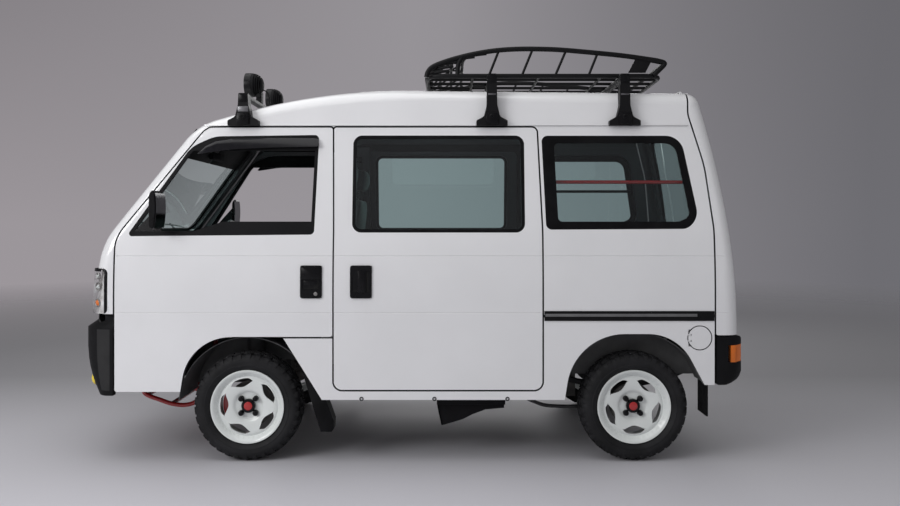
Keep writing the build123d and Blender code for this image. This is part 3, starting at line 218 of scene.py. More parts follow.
metal("cast_iron", (0.12, 0.115, 0.11), 0.62, 0.7)
metal("chassis", (0.035, 0.035, 0.037), 0.6, 0.3)
metal("steel", (0.4, 0.39, 0.38), 0.38)
metal("reflector", (0.86, 0.84, 0.8), 0.34)
plastic("lamp_orange", (0.75, 0.17, 0.015), 0.18, 90, 0.0004)
plastic("lamp_yellow", (0.82, 0.62, 0.05), 0.18, 120, 0.0004)
glass("glass", (0.8, 0.93, 0.91), (0.72, 0.88, 0.85))
glass("tinted_glass", (0.76, 0.9, 0.885), (0.6, 0.8, 0.78))
glass("lamp_glass", (0.97, 0.98, 0.98), (0.95, 0.96, 0.97))


def trim_and_painted_shade_inside(look, colour, inside):
    """Paint outside; every face that looks towards the middle of the cabin gets a near-black colour, partly trim colour
    and partly painted shade of the cabin.
    """
    away = look.node("VectorMath", look.place.outputs["Object"], CABIN_MIDDLE, operation="SUBTRACT")
    dot = look.node("VectorMath", away.outputs["Vector"], look.place.outputs["Normal"], operation="DOT_PRODUCT")
    inward = look.node("MapRange", dot.outputs["Value"], From_Min=-0.2, From_Max=-0.3).outputs["Result"]
    outside = look.ramp(look.noise(3.5), 0.3, 0.7, shades(colour, 0.02))
    mix = look.node("MixRGB", inward, outside, (*inside, 1))
    look.link(mix.outputs["Color"], look.shader.inputs["Base Color"])
    coat = look.node("MapRange", inward, To_Min=1.0, To_Max=0.0)
    look.link(coat.outputs["Result"], look.shader.inputs["Coat Weight"])


trim_and_painted_shade_inside(LOOKS["white_paint"], WHITE, INSIDE_TRIM_AND_SHADE)


def material(name):
    return LOOKS[name].material


SLOTS = {part["node"]: part["material_slot"] for part in frame["record"]["subparts"]}
for node_name, node_object in NODES.items():
    node_object.data.materials.clear()
    node_object.data.materials.append(material(SLOTS[node_name]))


# ---------------------------------------------------------------- mesh helper
def metres(point):
    return Vector([c * MM for c in point])


class Shape:
    """Collects simple forms, given in millimetres, into the mesh of one piece."""

    def __init__(self, node=None):
        self.mesh = bmesh.new()
        if node:
            self.mesh.from_mesh(NODES[node].data)
            self.mesh.transform(NODES[node].matrix_world)

    def vert(self, point):
        return self.mesh.verts.new(metres(point))

    def soften(self, edges, width, segments=2):
        bmesh.ops.bevel(self.mesh, geom=list(edges), offset=width * MM, segments=segments, affect="EDGES", profile=0.5)

    def cut(self, place, normal, **ways):
        """Cuts along the plane through a place in metres, across a normal."""
        geometry = self.mesh.verts[:] + self.mesh.edges[:] + self.mesh.faces[:]
        bmesh.ops.bisect_plane(self.mesh, geom=geometry, plane_co=place, plane_no=normal, **ways)

    def box(self, corner, opposite, bevel, segments=2):
        low, high = (metres([end(pair) for pair in zip(corner, opposite)]) for end in (min, max))
        middle, size = (low + high) / 2, high - low
        made = bmesh.ops.create_cube(self.mesh, size=1)["verts"]
        for vert in made:
            vert.co = Vector(c * s for c, s in zip(vert.co, size)) + middle
        self.soften({edge for vert in made for edge in vert.link_edges}, bevel, segments)

    def prism(self, outline, start, end, bevel=0):
        """Solid between two ends of an outline: start and end are functions of an outline row."""
        near = [self.vert(start(*row)) for row in outline]
        far = [self.vert(end(*row)) for row in outline]
        count = len(outline)
        caps = [self.mesh.faces.new(near), self.mesh.faces.new(far[::-1])]
        for i in range(count):
            k = (i + 1) % count
            self.mesh.faces.new((near[i], far[i], far[k], near[k]))
        if bevel:
            self.soften({edge for cap in caps for edge in cap.edges}, bevel)

    def slab(self, outline, y0, y1, bevel=0):
        """Plate between two places across the car; outline rows are x, z."""
        self.prism(outline, lambda x, z: (x, y0, z), lambda x, z: (x, y1, z), bevel)

    def rings(self, rows, closed_rows=False, closed_ring=True):
        """Skin over a list of rings with the same number of points."""
        made = [[self.vert(point) for point in row] for row in rows]
        count = len(made[0])
        for i in range(len(made) if closed_rows else len(made) - 1):
            low, high = made[i], made[(i + 1) % len(made)]
            for j in range(count if closed_ring else count - 1):
                k = (j + 1) % count
                self.mesh.faces.new((low[j], low[k], high[k], high[j]))
        if not closed_rows:
            self.mesh.faces.new(made[0][::-1])
            self.mesh.faces.new(made[-1])

    def tube(self, points, radius, sides=10, closed=False):
        """Round tube along points, with its rings turned as little as possible."""
        points = [Vector(point) for point in points]
        count = len(points)
        along = []
        for i in range(count):
            before = points[i - 1] if closed or i else points[i]
            after = points[(i + 1) % count] if closed or i < count - 1 else points[i]
            along.append((after - before).normalized())
        side = along[0].orthogonal().normalized()
        rows = []
        for point, direction in zip(points, along):
            side = (side - direction * side.dot(direction)).normalized()
            other = direction.cross(side)
            angles = [2 * pi * i / sides for i in range(sides)]
            rows.append([point + (side * cos(a) + other * sin(a)) * radius for a in angles])
        self.rings(rows, closed_rows=closed)

    def lathe(self, profile, centre, out, segments=48, closed=False):
        """Turns rows of radius, distance along out round an axis through centre."""
        centre = Vector(centre)
        out = Vector(out).normalized()
        side = out.orthogonal().normalized()
        other = out.cross(side)
        rows = []
        for i in range(segments):
            angle = 2 * pi * i / segments
            arm = side * cos(angle) + other * sin(angle)
            rows.append([centre + arm * r + out * w for r, w in profile])
        self.rings(rows, closed_rows=True, closed_ring=closed)
        bmesh.ops.remove_doubles(self.mesh, verts=self.mesh.verts, dist=1e-6)

    def piece(self, name, body, look, smooth=32):
        """Turns what was collected into an object that rides on a body."""
        bmesh.ops.recalc_face_normals(self.mesh, faces=self.mesh.faces)
        data = bpy.data.meshes.new(name)
        self.mesh.to_mesh(data)
        self.mesh.free()
        data.shade_smooth()
        data.set_sharp_from_angle(angle=radians(smooth))
        made = bpy.data.objects.new(name, data)
        bpy.context.scene.collection.objects.link(made)
        data.materials.append(material(look))
        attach(made, body)
        return made


def read_off(table, value):
    """Second column of a table at a value of its first, straight between its rows."""
    for (a0, b0), (a1, b1) in zip(table, table[1:]):
        if value <= a1:
            return b0 + (b1 - b0) * (max(value, a0) - a0) / (a1 - a0)
    return table[-1][1]


def spoke(angle):
    return Vector((cos(angle), 0, sin(angle)))


def wheel_centre(corner):
    """Middle of a tyre, and the direction to the outside of the car."""
    low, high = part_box("tyre_" + corner)
    middle = (low + high) / 2
    return middle / MM, Vector((0, 1 if middle.y > 0 else -1, 0))


# ---------------------------------------------------------------- tyres
# half section of the carcass: radius, distance from the middle plane, mm
CARCASS = ((166, 55), (181, 57), (187, 64), (194, 70), (203, 75), (207, 77), (209, 75.5), (221, 78),
           (232, 77.5), (240, 74), (248, 68), (254, 60), (256, 40), (256, 0))
TREAD_PITCHES = 34
TREAD_FOOT = 252
# tread blocks of one pitch: side, w from, w to (mm), start and end share of the pitch, top radius (mm)
TREAD_BLOCKS = (
    (1, 46, 70, 0.05, 0.62, 264), (-1, 46, 70, 0.55, 1.12, 264),
    (1, 24, 42, 0.30, 0.92, 265.5), (-1, 24, 42, 0.80, 1.42, 265.5),
    (1, 2, 20, 0.02, 0.64, 265.8), (-1, 2, 20, 0.50, 1.12, 265.8),
)
# lug on the shoulder: radius, distance from the middle plane; its length is a share of the pitch
LUG = ((233, 76.5), (233, 78.4), (252, 72.5), (252, 66))
LUG_LENGTH = 0.42


def tread_block(shape, centre, out, first, last, low, high, top):
    """One block: a curved box whose foot is wider than its top."""
    rows = []
    for radius, shrink in ((TREAD_FOOT, 0.0), (top - 1.5, 0.10), (top, 0.16)):
        turn, across = (last - first) * shrink / 2, (high - low) * shrink / 2
        row = []
        for angle, width in ((first + turn, low + across), (last - turn, low + across),
                             (last - turn, high - across), (first + turn, high - across)):
            drop = 10 * max(0, (abs(width) - 55) / 15) ** 2 if radius > TREAD_FOOT else 6 * (abs(width) > 60)
            row.append(centre + spoke(angle) * (radius - drop) + out * width)
        rows.append(row)
    shape.rings(rows)


def tyre(corner):
    centre, out = wheel_centre(corner)
    shape = Shape()
    shape.lathe(CARCASS + tuple((r, -w) for r, w in CARCASS[-2::-1]), centre, out, 96)
    pitch = 2 * pi / TREAD_PITCHES
    for step in range(TREAD_PITCHES):
        for side, low, high, first, last, top in TREAD_BLOCKS:
            tread_block(shape, centre, out * side, (step + first) * pitch, (step + last) * pitch, low, high, top)
        for side in (-1, 1):
            start = (step + (0.1 if side > 0 else 0.6)) * pitch
            shape.rings([[centre + spoke(angle) * radius + out * side * width for radius, width in LUG]
                         for angle in (start, start + pitch * LUG_LENGTH)])
    piece = shape.piece("tread_tyre_" + corner, "wheel_" + corner, "tyre", 28)
    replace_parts(piece, "tyre_" + corner)


# ---------------------------------------------------------------- wheels
# face of the wheel: radius, distance out of the middle plane, mm
FACE = ((28, 29), (40, 30), (62, 30), (68, 33), (74, 38), (84, 41), (100, 44), (118, 46), (132, 46.5), (141, 45),
        (145, 42), (149, 41), (152, 46), (158, 52), (164, 60), (172, 65), (178, 67), (180.1, 66.5))
BARREL = ((180.1, 66.5), (179.5, 58), (165.3, 57), (165.2, 36), (149.5, 24), (149.5, -24), (165.2, -36),
          (165.3, -57), (179.5, -58), (180.1, -66.5), (175, -66.5), (158, -50), (146, -30), (146, 30))
FACE_T = 8
HOLES = 5
HOLE_STEPS = 24
HOLE_HALF_ANGLE = radians(25)
HOLE_IN, HOLE_WIDEST, HOLE_OUT = 97, 126, 138
HOLE_TURN = dict(zip(CORNERS, (radians(105), radians(75), radians(56), radians(84))))
# rings of the disc inside and outside the holes
INNER_RINGS = [28, 40, 61, 66, 70, 75, 84]
OUTER_RINGS = [145, 148, 151, 158, 164, 172, 178, 180.1]
# ribs in the rim: radius, distance out of the middle plane
RIBS = 40
RIB = ((152, 44.5), (153, 50.5), (169, 63.2), (170.5, 62))


def wheel(corner):
    centre, out = wheel_centre(corner)
    shape = Shape()
    bm = shape.mesh
    sector = 2 * pi / HOLES
    columns = []
    for hole in range(HOLES):
        for step in range(HOLE_STEPS):
            turn = (step / HOLE_STEPS - 0.5) * sector
            share = max(0.0, 1 - (turn / HOLE_HALF_ANGLE) ** 2)
            low = HOLE_WIDEST - (HOLE_WIDEST - HOLE_IN) * share
            high = HOLE_WIDEST + (HOLE_OUT - HOLE_WIDEST) * min(1, share * 1.6) ** 0.8
            inner = INNER_RINGS + [84 + (low - 84) * k / 3 for k in (1, 2, 3)]
            outer = [high + (142 - high) * k / 3 for k in (0, 1, 2, 3)] + OUTER_RINGS
            columns.append((HOLE_TURN[corner] + hole * sector + turn, inner, outer, share > 0))

    def strip(part, lift):
        return [[shape.vert(centre + spoke(c[0]) * r + out * (read_off(FACE, r) + lift)) for r in c[part]]
                for c in columns]

    tops = strip(1, 0), strip(2, 0)
    backs = strip(1, -FACE_T), strip(2, -FACE_T)
    for i in range(len(columns)):
        k = (i + 1) % len(columns)
        for part in (0, 1):
            for rows, flip in ((tops[part], False), (backs[part], True)):
                for j in range(len(rows[0]) - 1):
                    corners = (rows[i][j], rows[i][j + 1], rows[k][j + 1], rows[k][j])
                    bm.faces.new(corners[::-1] if flip else corners)
        (top_in, top_out), (back_in, back_out) = tops, backs
        if columns[i][3] or columns[k][3]:
            bm.faces.new((top_in[i][-1], back_in[i][-1], back_in[k][-1], top_in[k][-1]))
            bm.faces.new((top_out[i][0], back_out[i][0], back_out[k][0], top_out[k][0]))
        else:
            bm.faces.new((top_in[i][-1], top_out[i][0], top_out[k][0], top_in[k][-1]))
            bm.faces.new((back_in[i][-1], back_out[i][0], back_out[k][0], back_in[k][-1]))
        bm.faces.new((top_in[i][0], top_in[k][0], back_in[k][0], back_in[i][0]))
    bmesh.ops.remove_doubles(bm, verts=bm.verts, dist=1e-5)
    shape.lathe(BARREL, centre, out, 72, closed=True)
    for step in range(RIBS):
        angle = 2 * pi * step / RIBS
        along = Vector((-sin(angle), 0, cos(angle)))
        half = 3.2 if step % 2 else 5.5
        shape.rings([[centre + spoke(angle) * radius + along * s * half + out * depth for radius, depth in RIB]
                     for s in (-1, 1)])
    piece = shape.piece("white_wheel_" + corner, "wheel_" + corner, "wheel_white", 40)
    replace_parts(piece, "wheel_" + corner)


NUT_CIRCLE = 50
NUT_PROFILE = ((0, 54), (7, 54), (11.2, 52), (13.3, 48), (14, 30), (16.8, 29.6))
CAP_PROFILE = ((33.9, 29.6), (33.9, 44), (31.6, 47), (23.4, 48), (21.1, 46), (0, 45.5))
CAP_DOME = ((21, 45), (20.4, 48), (14.4, 50), (0, 51))


def wheel_fittings(corner):
    centre, out = wheel_centre(corner)
    nuts, dome = Shape(), Shape()
    for step in range(4):
        nuts.lathe(NUT_PROFILE, centre + spoke(pi / 4 + step * pi / 2) * NUT_CIRCLE, out, 18)
    nuts.lathe(CAP_PROFILE, centre, out, 40)
    nuts.piece("wheel_nuts_" + corner, "wheel_" + corner, "smooth_plastic")
    dome.lathe(CAP_DOME, centre, out, 32)
    dome.piece("cap_centre_" + corner, "wheel_" + corner, "red_paint")


for corner in CORNERS:
    tyre(corner)
    wheel(corner)
    wheel_fittings(corner)


# ---------------------------------------------------------------- roof basket
def spline(points, steps=8, closed=False):
    """Smooth line through given points (Catmull-Rom)."""
    points = [Vector(point) for point in points]
    count = len(points)
    line = []
    for i in range(count if closed else count - 1):
        p0 = points[(i - 1) % count] if closed or i else points[0]
        p1, p2 = points[i], points[(i + 1) % count]
        p3 = points[(i + 2) % count] if closed or i + 2 < count else points[-1]
        for step in range(steps):
            t = step / steps
            line.append(0.5 * (2 * p1 + (p2 - p0) * t + (2 * p0 - 5 * p1 + 4 * p2 - p3) * t * t
                               + (3 * p1 - p0 - 3 * p2 + p3) * t ** 3))
    if not closed:
        line.append(points[-1])
    return line


def rounded(points, radius, steps=6):
    """Straight runs with round corners."""
    points = [Vector(point) for point in points]
    line = [points[0]]
    for before, here, after in zip(points, points[1:], points[2:]):
        start = here + (before - here).normalized() * radius
        end = here + (after - here).normalized() * radius
        for step in range(steps + 1):
            t = step / steps
            line.append(start * (1 - t) ** 2 + here * 2 * t * (1 - t) + end * t * t)
    line.append(points[-1])
    return line


def bow(half_line):
    """A line over the middle of the car from its right half: the left half comes first."""
    return [(x, -y, z) for x, y, z in half_line] + list(half_line[::-1])


BASKET_HALF = 510
# side view of the top rail, x and z, mm
TOP_RAIL = ((64, 1912), (72, 1940), (97, 1966), (160, 1992), (250, 2018), (345, 2038), (432, 2050), (530, 2056),
            (640, 2056), (760, 2051), (963, 2033), (1091, 2019), (1235, 1998))
FRONT_BARS = ((62, 1912), (64, 1932), (82, 1954), (128, 1981), (190, 2003), (250, 2019))
BASE_FRONT, BASE_REAR, BASE_Z = 64, 1262, 1919
SLATS = (-400, -270, -135, 0, 135, 270, 400)
CROSS_BARS = (300, 640, 960)
LACING = 105  # width of one field of the lacing between the front bars
# uprights: x at the base rail, x at the top rail, mm
UPRIGHTS = ((382, 434), (550, 606), (720, 776), (890, 937))
PLATE = ((1092, 1935), (1130, 2008), (1212, 1996), (1180, 1935))

basket = Shape()
for side in (-1, 1):
    edge = side * BASKET_HALF
    tail = rounded([(1238, edge, 1997.5), (1287, edge, 1985), (1222, edge, 1921)], 22)
    basket.tube(spline([(x, edge, z) for x, z in TOP_RAIL]) + tail[1:], 12.5, 12)
    for base_x, top_x in UPRIGHTS:
        basket.tube([(base_x, edge, BASE_Z), (top_x, edge, read_off(TOP_RAIL, top_x))], 6.5)
    hoop = [(250, edge, read_off(TOP_RAIL, 250)), (226, edge, 1990), (222, edge, BASE_Z)]
    basket.tube(rounded(hoop, 30), 12)
    basket.slab(PLATE, edge - 5, edge + 5, 1.5)
for x, z in FRONT_BARS:
    half_bar = [(x, BASKET_HALF - 130, z), (x + 20, BASKET_HALF - 6, z + 3), (x + 120, BASKET_HALF, z + 14)]
    basket.tube(rounded(bow(half_bar[::-1]), 60), 8.5)
for step in range(-4, 4):
    y = step * LACING
    for row, ((x0, z0), (x1, z1)) in enumerate(zip(FRONT_BARS, FRONT_BARS[1:])):
        shift = LACING if (row + step) % 2 else 0
        basket.tube([(x0, y + shift, z0), (x1, y + LACING - shift, z1)], 5, 8)
base_half = [(BASE_FRONT, 0), (BASE_FRONT, BASKET_HALF), (BASE_REAR, BASKET_HALF)]
base_loop = [(x, -y) for x, y in base_half] + [(BASE_REAR + 14, 0)] + base_half[::-1]
basket.tube(rounded([(x, y, BASE_Z) for x, y in base_loop], 100), 11.5, 12)
rear_rail = [(1150, BASKET_HALF, 2010), (1285, BASKET_HALF - 2, 1984), (1283, BASKET_HALF - 60, 1984)]
basket.tube(rounded(bow(rear_rail), 20), 11.5, 12)
for y in SLATS:
    basket.tube([(BASE_FRONT, y, BASE_Z), (BASE_REAR + 8, y, BASE_Z)], 8, 8)
for x in CROSS_BARS:
    basket.tube([(x, -BASKET_HALF, BASE_Z), (x, BASKET_HALF, BASE_Z)], 8, 8)
roof_basket = basket.piece("basket_frame", "body", "black_steel", 50)
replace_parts(roof_basket, "roof_basket")

# ---------------------------------------------------------------- the body's skin, for what lies on it
BODY_HALF = 697.5
WAIST_Z, BELT_Z, TUMBLE_IN = 800, 1130, 21.6
BELT_ARC_R = (TUMBLE_IN ** 2 + (BELT_Z - WAIST_Z) ** 2) / (2 * TUMBLE_IN)
BELT_SLOPE = (BELT_Z - WAIST_Z) / sqrt(BELT_ARC_R ** 2 - (BELT_Z - WAIST_Z) ** 2)


def skin_y(z):
    """Half width of the body at a height, mm."""
    if z <= WAIST_Z:
        return BODY_HALF
    if z <= BELT_Z:
        return BODY_HALF - BELT_ARC_R + sqrt(BELT_ARC_R ** 2 - (z - WAIST_Z) ** 2)
    return BODY_HALF - TUMBLE_IN - BELT_SLOPE * (z - BELT_Z)


def round_rect(low, high, radius, steps=5):
    """Outline of a rectangle with round corners, rows of x, z."""
    (x0, z0), (x1, z1) = low, high
    right, left, top, foot = x1 - radius, x0 + radius, z1 - radius, z0 + radius
    rows = []
    for quarter, (x, z) in enumerate(((right, top), (left, top), (left, foot), (right, foot))):
        for step in range(steps + 1):
            angle = (quarter + step / steps) * pi / 2
            rows.append((x + radius * cos(angle), z + radius * sin(angle)))
    return rows


def on_side(shape, side, outline, low, high, bevel=0):
    """Plate on the side: outline rows of x, z; it reaches from low to high mm out of the skin."""
    shape.prism(
        outline,
        lambda x, z: (x, side * (skin_y(z) + low), z),
        lambda x, z: (x, side * (skin_y(z) + high), z),
        bevel,
    )


def frame_on_side(shape, side, outer, inner, low, high, soften=1.5):
    """Plate with a hole on the side: two outlines with the same number of rows."""
    middle = Vector((sum(x for x, z in outer) / len(outer), sum(z for x, z in outer) / len(outer)))
    loops = []
    for outline, lift, pull in ((outer, low, 0), (outer, high - soften, 0), (outer, high, -soften),
                                (inner, high, soften), (inner, high - soften, 0), (inner, low, 0)):
        loop = []
        for corner in outline:
            x, z = Vector(corner) + (Vector(corner) - middle).normalized() * pull
            loop.append((x, side * (skin_y(z) + lift), z))
        loops.append(loop)
    shape.rings(loops, closed_rows=True)


# ---------------------------------------------------------------- door handles, locks and mirrors
LOCK_PROFILE = ((9.5, 0), (9.5, 8.8), (8.5, 9.6), (6.5, 9.6), (6, 8.6), (0, 8.6))
LOCK_X, LOCK_Z = -470, 824
# back of the mirror head: x and z, mm
MIRROR_BACK = ((-1259, 1146), (-1250, 1180), (-1245.3, 1215), (-1244, 1240), (-1244.6, 1262), (-1247.5, 1290),
               (-1252, 1312))
MIRROR_IN_Y, MIRROR_OUT_Y = 652, 785


def front_handle(side, name):
    body = "front_door_" + name
    back, plate, lock = Shape(), Shape(), Shape()
    # near-black plate in the handle recess: painted shade
    on_side(back, side, ((-538, 843), (-448, 843), (-448, 896), (-538, 896)), 0, 4.6)
    back.piece("handle_recess_shade_" + name, body, "recess_painted_shade")
    frame_on_side(plate, side, round_rect((-546, 802), (-440, 962), 13), round_rect((-535, 847), (-451, 893), 4), 0, 8)
    on_side(plate, side, round_rect((-540, 894), (-446, 955), 5), 6, 10.5, 1.6)
    on_side(plate, side, round_rect((-528, 866), (-462, 890), 4), 2, 5.6, 1.0)
    plate.piece("handle_plate_" + name, body, "smooth_plastic")
    lock.lathe(LOCK_PROFILE, (LOCK_X, side * BODY_HALF, LOCK_Z), (0, side, 0), 28)
    lock.piece("door_lock_" + name, body, "steel")


def sliding_handle(side, name):
    back, plate = Shape(), Shape()
    # near-black plate in the handle recess: painted shade
    on_side(back, side, ((-294, 832), (-204, 832), (-204, 934), (-294, 934)), 0, 4.6)
    back.piece("slide_recess_shade_" + name, "body", "recess_painted_shade")
    frame_on_side(plate, side, round_rect((-303, 802), (-197, 962), 13), round_rect((-292, 836), (-206, 930), 6), 0, 8)
    on_side(plate, side, round_rect((-266, 830), (-226, 936), 8), 2, 10, 2.5)
    plate.piece("slide_handle_" + name, "body", "smooth_plastic")


def mirror_x(x):
    """The head sits further back and is slimmer than its solid; the arm's root stays."""
    return -1252 + 0.62 * (x + 1300) if x > -1300 else x + 48 * max(0, (x + 1363) / 63)


def mirror(side, name):
    glazing, head = Shape(), Shape("door_mirror_" + name)
    loops = []
    for back_x, z in MIRROR_BACK:
        x, low, high = mirror_x(back_x), side * MIRROR_IN_Y, side * MIRROR_OUT_Y
        loops.append([(x - 3, low, z), (x + 1.4, low, z), (x + 1.4, high, z), (x - 3, high, z)])
    glazing.rings(loops)
    glazing.piece("mirror_glass_" + name, "front_door_" + name, "mirror_glass")
    for vert in head.mesh.verts:
        vert.co.x = mirror_x(vert.co.x / MM) * MM
    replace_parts(head.piece("mirror_head_" + name, "front_door_" + name, "smooth_plastic"), "door_mirror_" + name)


# ---------------------------------------------------------------- head lamps
def skin_patch(node, cuts, lift, name, body, look, smooth=40):
    """A thin layer over the outward skin of a node, inside the planes given as point and normal."""
    shape = Shape(node)
    bm = shape.mesh
    for point, normal in cuts:
        shape.cut(Vector(point) * MM, normal, clear_inner=True)
    bm.normal_update()
    inward = []
    for face in bm.faces:
        away = face.calc_center_median() - CABIN_MIDDLE
        if face.normal.dot(away) < 0.3 * away.length:
            inward.append(face)
    bmesh.ops.delete(bm, geom=inward, context="FACES")
    bmesh.ops.remove_doubles(bm, verts=bm.verts, dist=1e-5)
    bm.normal_update()
    for vert in bm.verts:
        vert.co += vert.normal * lift * MM
    layer = bmesh.ops.extrude_face_region(bm, geom=bm.faces[:])["geom"]
    for vert in [v for v in layer if isinstance(v, bmesh.types.BMVert)]:
        vert.co -= vert.normal * lift * 0.8 * MM
    return shape.piece(name, body, look, smooth)


LAMP_EDGE_X, LAMP_TOP_Z = -1502, 932
HOUSINGS = BVHTree.FromBMesh(Shape("headlamp_housings").mesh)
BULB_PROFILE = ((0, 11), (0.6, 9.5), (1, 4), (1, 0), (0, 0))
# lamps behind the lens: place in front of the housing, direction out, radius, whether it is the amber one
BULBS = (
    ((-1535, 655, 908), (-0.62, 0.78, 0), 17, False),
    ((-1535, 655, 855), (-0.62, 0.78, 0), 22, False),
    ((-1540, 650, 776), (-0.62, 0.78, 0), 22, True),
    ((-1560, 560, 838), (-1, 0.1, 0), 58, False),
)


def upright(piece):
    """The lamp's face stands steeper than the nose: draws a piece forward at its top and back at its foot."""
    for vert in piece.data.vertices:
        vert.co.x += (9 - 26 * (vert.co.z / MM - 745) / 200) * MM
    return piece


def headlamp(side, name):
    own_half = ((0, 0, 0), (0, side, 0))
    behind_edge, before_edge = ((LAMP_EDGE_X, 0, 0), (1, 0, 0)), ((LAMP_EDGE_X, 0, 0), (-1, 0, 0))
    over_top = ((0, 0, LAMP_TOP_Z), (0, 0, 1))
    for part, cuts in (("side", (behind_edge, own_half)), ("top", (over_top, before_edge, own_half))):
        bezel = skin_patch("headlamp_lenses", cuts, 0.9, "lamp_bezel_" + part + "_" + name, "body", "smooth_plastic")
        if part == "top":
            upright(bezel)
    lens = upright(skin_patch("headlamp_lenses", (own_half,), 0.2, "lamp_lens_" + name, "body", "lamp_glass"))
    if side > 0:
        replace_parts(lens, "headlamp_lenses")
    rings, bulbs, amber = Shape(), Shape(), Shape()
    for (x, y, z), (out_x, out_y, out_z), radius, is_amber in BULBS:
        out = Vector((out_x, side * out_y, out_z)).normalized()
        hit = HOUSINGS.ray_cast((Vector((x, side * y, z)) + out * 300) * MM, -out)[0] / MM
        ring = ((radius - 6, 0), (radius, 0), (radius, 5), (radius - 2, 8), (radius - 5, 6))
        rings.lathe(ring, hit, out, 40, closed=True)
        dome = radius * (0.7 if is_amber else 0.42)
        (amber if is_amber else bulbs).lathe([(r * dome, w) for r, w in BULB_PROFILE], hit, out, 28)
    upright(rings.piece("lamp_rings_" + name, "body", "steel"))
    upright(bulbs.piece("lamp_bulbs_" + name, "body", "wheel_white"))
    upright(amber.piece("turn_bulb_" + name, "body", "lamp_orange"))


for side, side_name in SIDES:
    front_handle(side, side_name)
    sliding_handle(side, side_name)
    mirror(side, side_name)
    headlamp(side, side_name)


# ---------------------------------------------------------------- bumpers, fog lamps and tail lamps
# how far a bumper's face draws in towards its foot: height and distance, mm
FRONT_TAPER = ((327, 64), (345, 55), (380, 38), (420, 23), (460, 12), (500, 5), (560, 0), (800, 0))
REAR_TAPER = ((380, -54), (386, -36), (398, -20), (415, -8), (436, 0), (900, 0))
# panel at each side of the front bumper, painted paler than the rest as painted light, and where its face begins to
# draw in
(PANEL_X0, PANEL_X1), (PANEL_Z0, PANEL_Z1) = (-1541, -1474), (352, 650)
PANEL_Y = 640
FACE_CUTS = (-1500, -1580)
FRONT_FACE_X, FRONT_FACE_DEPTH = -1475, 150
REAR_FACE_X, REAR_FACE_DEPTH = 1510, 100


def draw_in(shape, table, face_x, depth):
    """Moves a bumper's face by the table, growing from face_x over a depth."""
    for vert in shape.mesh.verts:
        share = min(1, max(0, (vert.co.x / MM - face_x) / depth))
        vert.co.x += read_off(table, vert.co.z / MM) * share * MM


front = Shape("front_bumper")
for z in [z for z, _ in FRONT_TAPER[1:-1]] + [PANEL_Z0, PANEL_Z1]:
    front.cut(Vector((0, 0, z)) * MM, (0, 0, 1))
for x in (PANEL_X0, PANEL_X1) + FACE_CUTS:
    front.cut(Vector((x, 0, 0)) * MM, (1, 0, 0))
front.mesh.normal_update()
# the panel's outward side faces take the paler plastic as painted light
for face in front.mesh.faces:
    x, y, z = face.calc_center_median() / MM
    if PANEL_X0 < x < PANEL_X1 and PANEL_Z0 < z < PANEL_Z1 and abs(y) > PANEL_Y and face.normal.y * y > 0.3 * abs(y):
        face.material_index = 1
draw_in(front, FRONT_TAPER, FRONT_FACE_X, -FRONT_FACE_DEPTH)
front_piece = front.piece("bumper_front", "body", "black_plastic", 28)
front_piece.data.materials.append(material("bumper_panel_painted_light"))
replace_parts(front_piece, "front_bumper")
rear = Shape("rear_bumper")
for z, _ in REAR_TAPER[1:-1]:
    rear.cut(metres((0, 0, z)), (0, 0, 1))
draw_in(rear, REAR_TAPER, REAR_FACE_X, REAR_FACE_DEPTH)
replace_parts(rear.piece("bumper_rear", "body", "black_plastic", 28), "rear_bumper")
# the front ends of the tail lamps sit a little deeper
LAMP_END_X, LAMP_END_SHIFT = 1575, 14
lamps = Shape("tail_lamps")
for vert in lamps.mesh.verts:
    if vert.co.x / MM < LAMP_END_X:
        vert.co.x += LAMP_END_SHIFT * MM
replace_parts(lamps.piece("tail_lamp_glass", "body", "lamp_orange"), "tail_lamps")
FOG_RING = ((36, -14), (46, -14), (46, 0), (44, 4), (38, 4), (36, 0))
FOG_DOME = ((0, 33), (16, 31.5), (28, 26), (35, 17), (37, 8), (37, -14), (0, -14))
fog_rings, fog_glass = Shape(), Shape()
for side in (-1, 1):
    fog_place = (-1600, side * 520, 384)
    fog_rings.lathe(FOG_RING, fog_place, (-1, 0, 0), 40, closed=True)
    fog_glass.lathe(FOG_DOME, fog_place, (-1, 0, 0), 40)
fog_rings.piece("fog_rings", "body", "smooth_plastic")
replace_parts(fog_glass.piece("fog_glass", "body", "lamp_yellow"), "fog_lamps")

# ---------------------------------------------------------------- guard rails, flaps, linings, visors, seals
RAIL_Y, RAIL_R = 345, 11.5
RAIL_LINE = ((-1440, 330), (-1441, 285), (-1420, 258), (-1350, 232), (-1290, 212), (-1230, 205), (-1180, 214),
             (-1150, 240), (-1130, 300))
rails = Shape()
for y in (-RAIL_Y, RAIL_Y):
    rails.tube(spline([(x, y, z) for x, z in RAIL_LINE]), RAIL_R, 14)
for x, z in ((-1290, 212), (-1420, 258)):
    rails.tube([(x, -RAIL_Y, z), (x, RAIL_Y, z)], RAIL_R, 14)
rails.piece("guard_rails", "body", "red_paint")
# cheek of the front flap, rows of x, z; the sheet behind it follows its rear edge
FLAP = ((-538, 446), (-496, 452), (-430, 332), (-384, 205), (-386, 160), (-394, 150), (-447, 150), (-478, 250))
FLAP_SHEET = FLAP[1:5] + tuple((x - 5, z - 1) for x, z in FLAP[4:0:-1])
flaps = Shape()
for side in (-1, 1):
    flaps.slab(FLAP, side * 693, side * 687, 1)
    flaps.slab(FLAP_SHEET, side * 690, side * 606)
flaps.piece("front_flaps", "body", "rubber")
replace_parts(Shape("wheel_housings").piece("arch_liners", "body", "liner"), "wheel_housings")
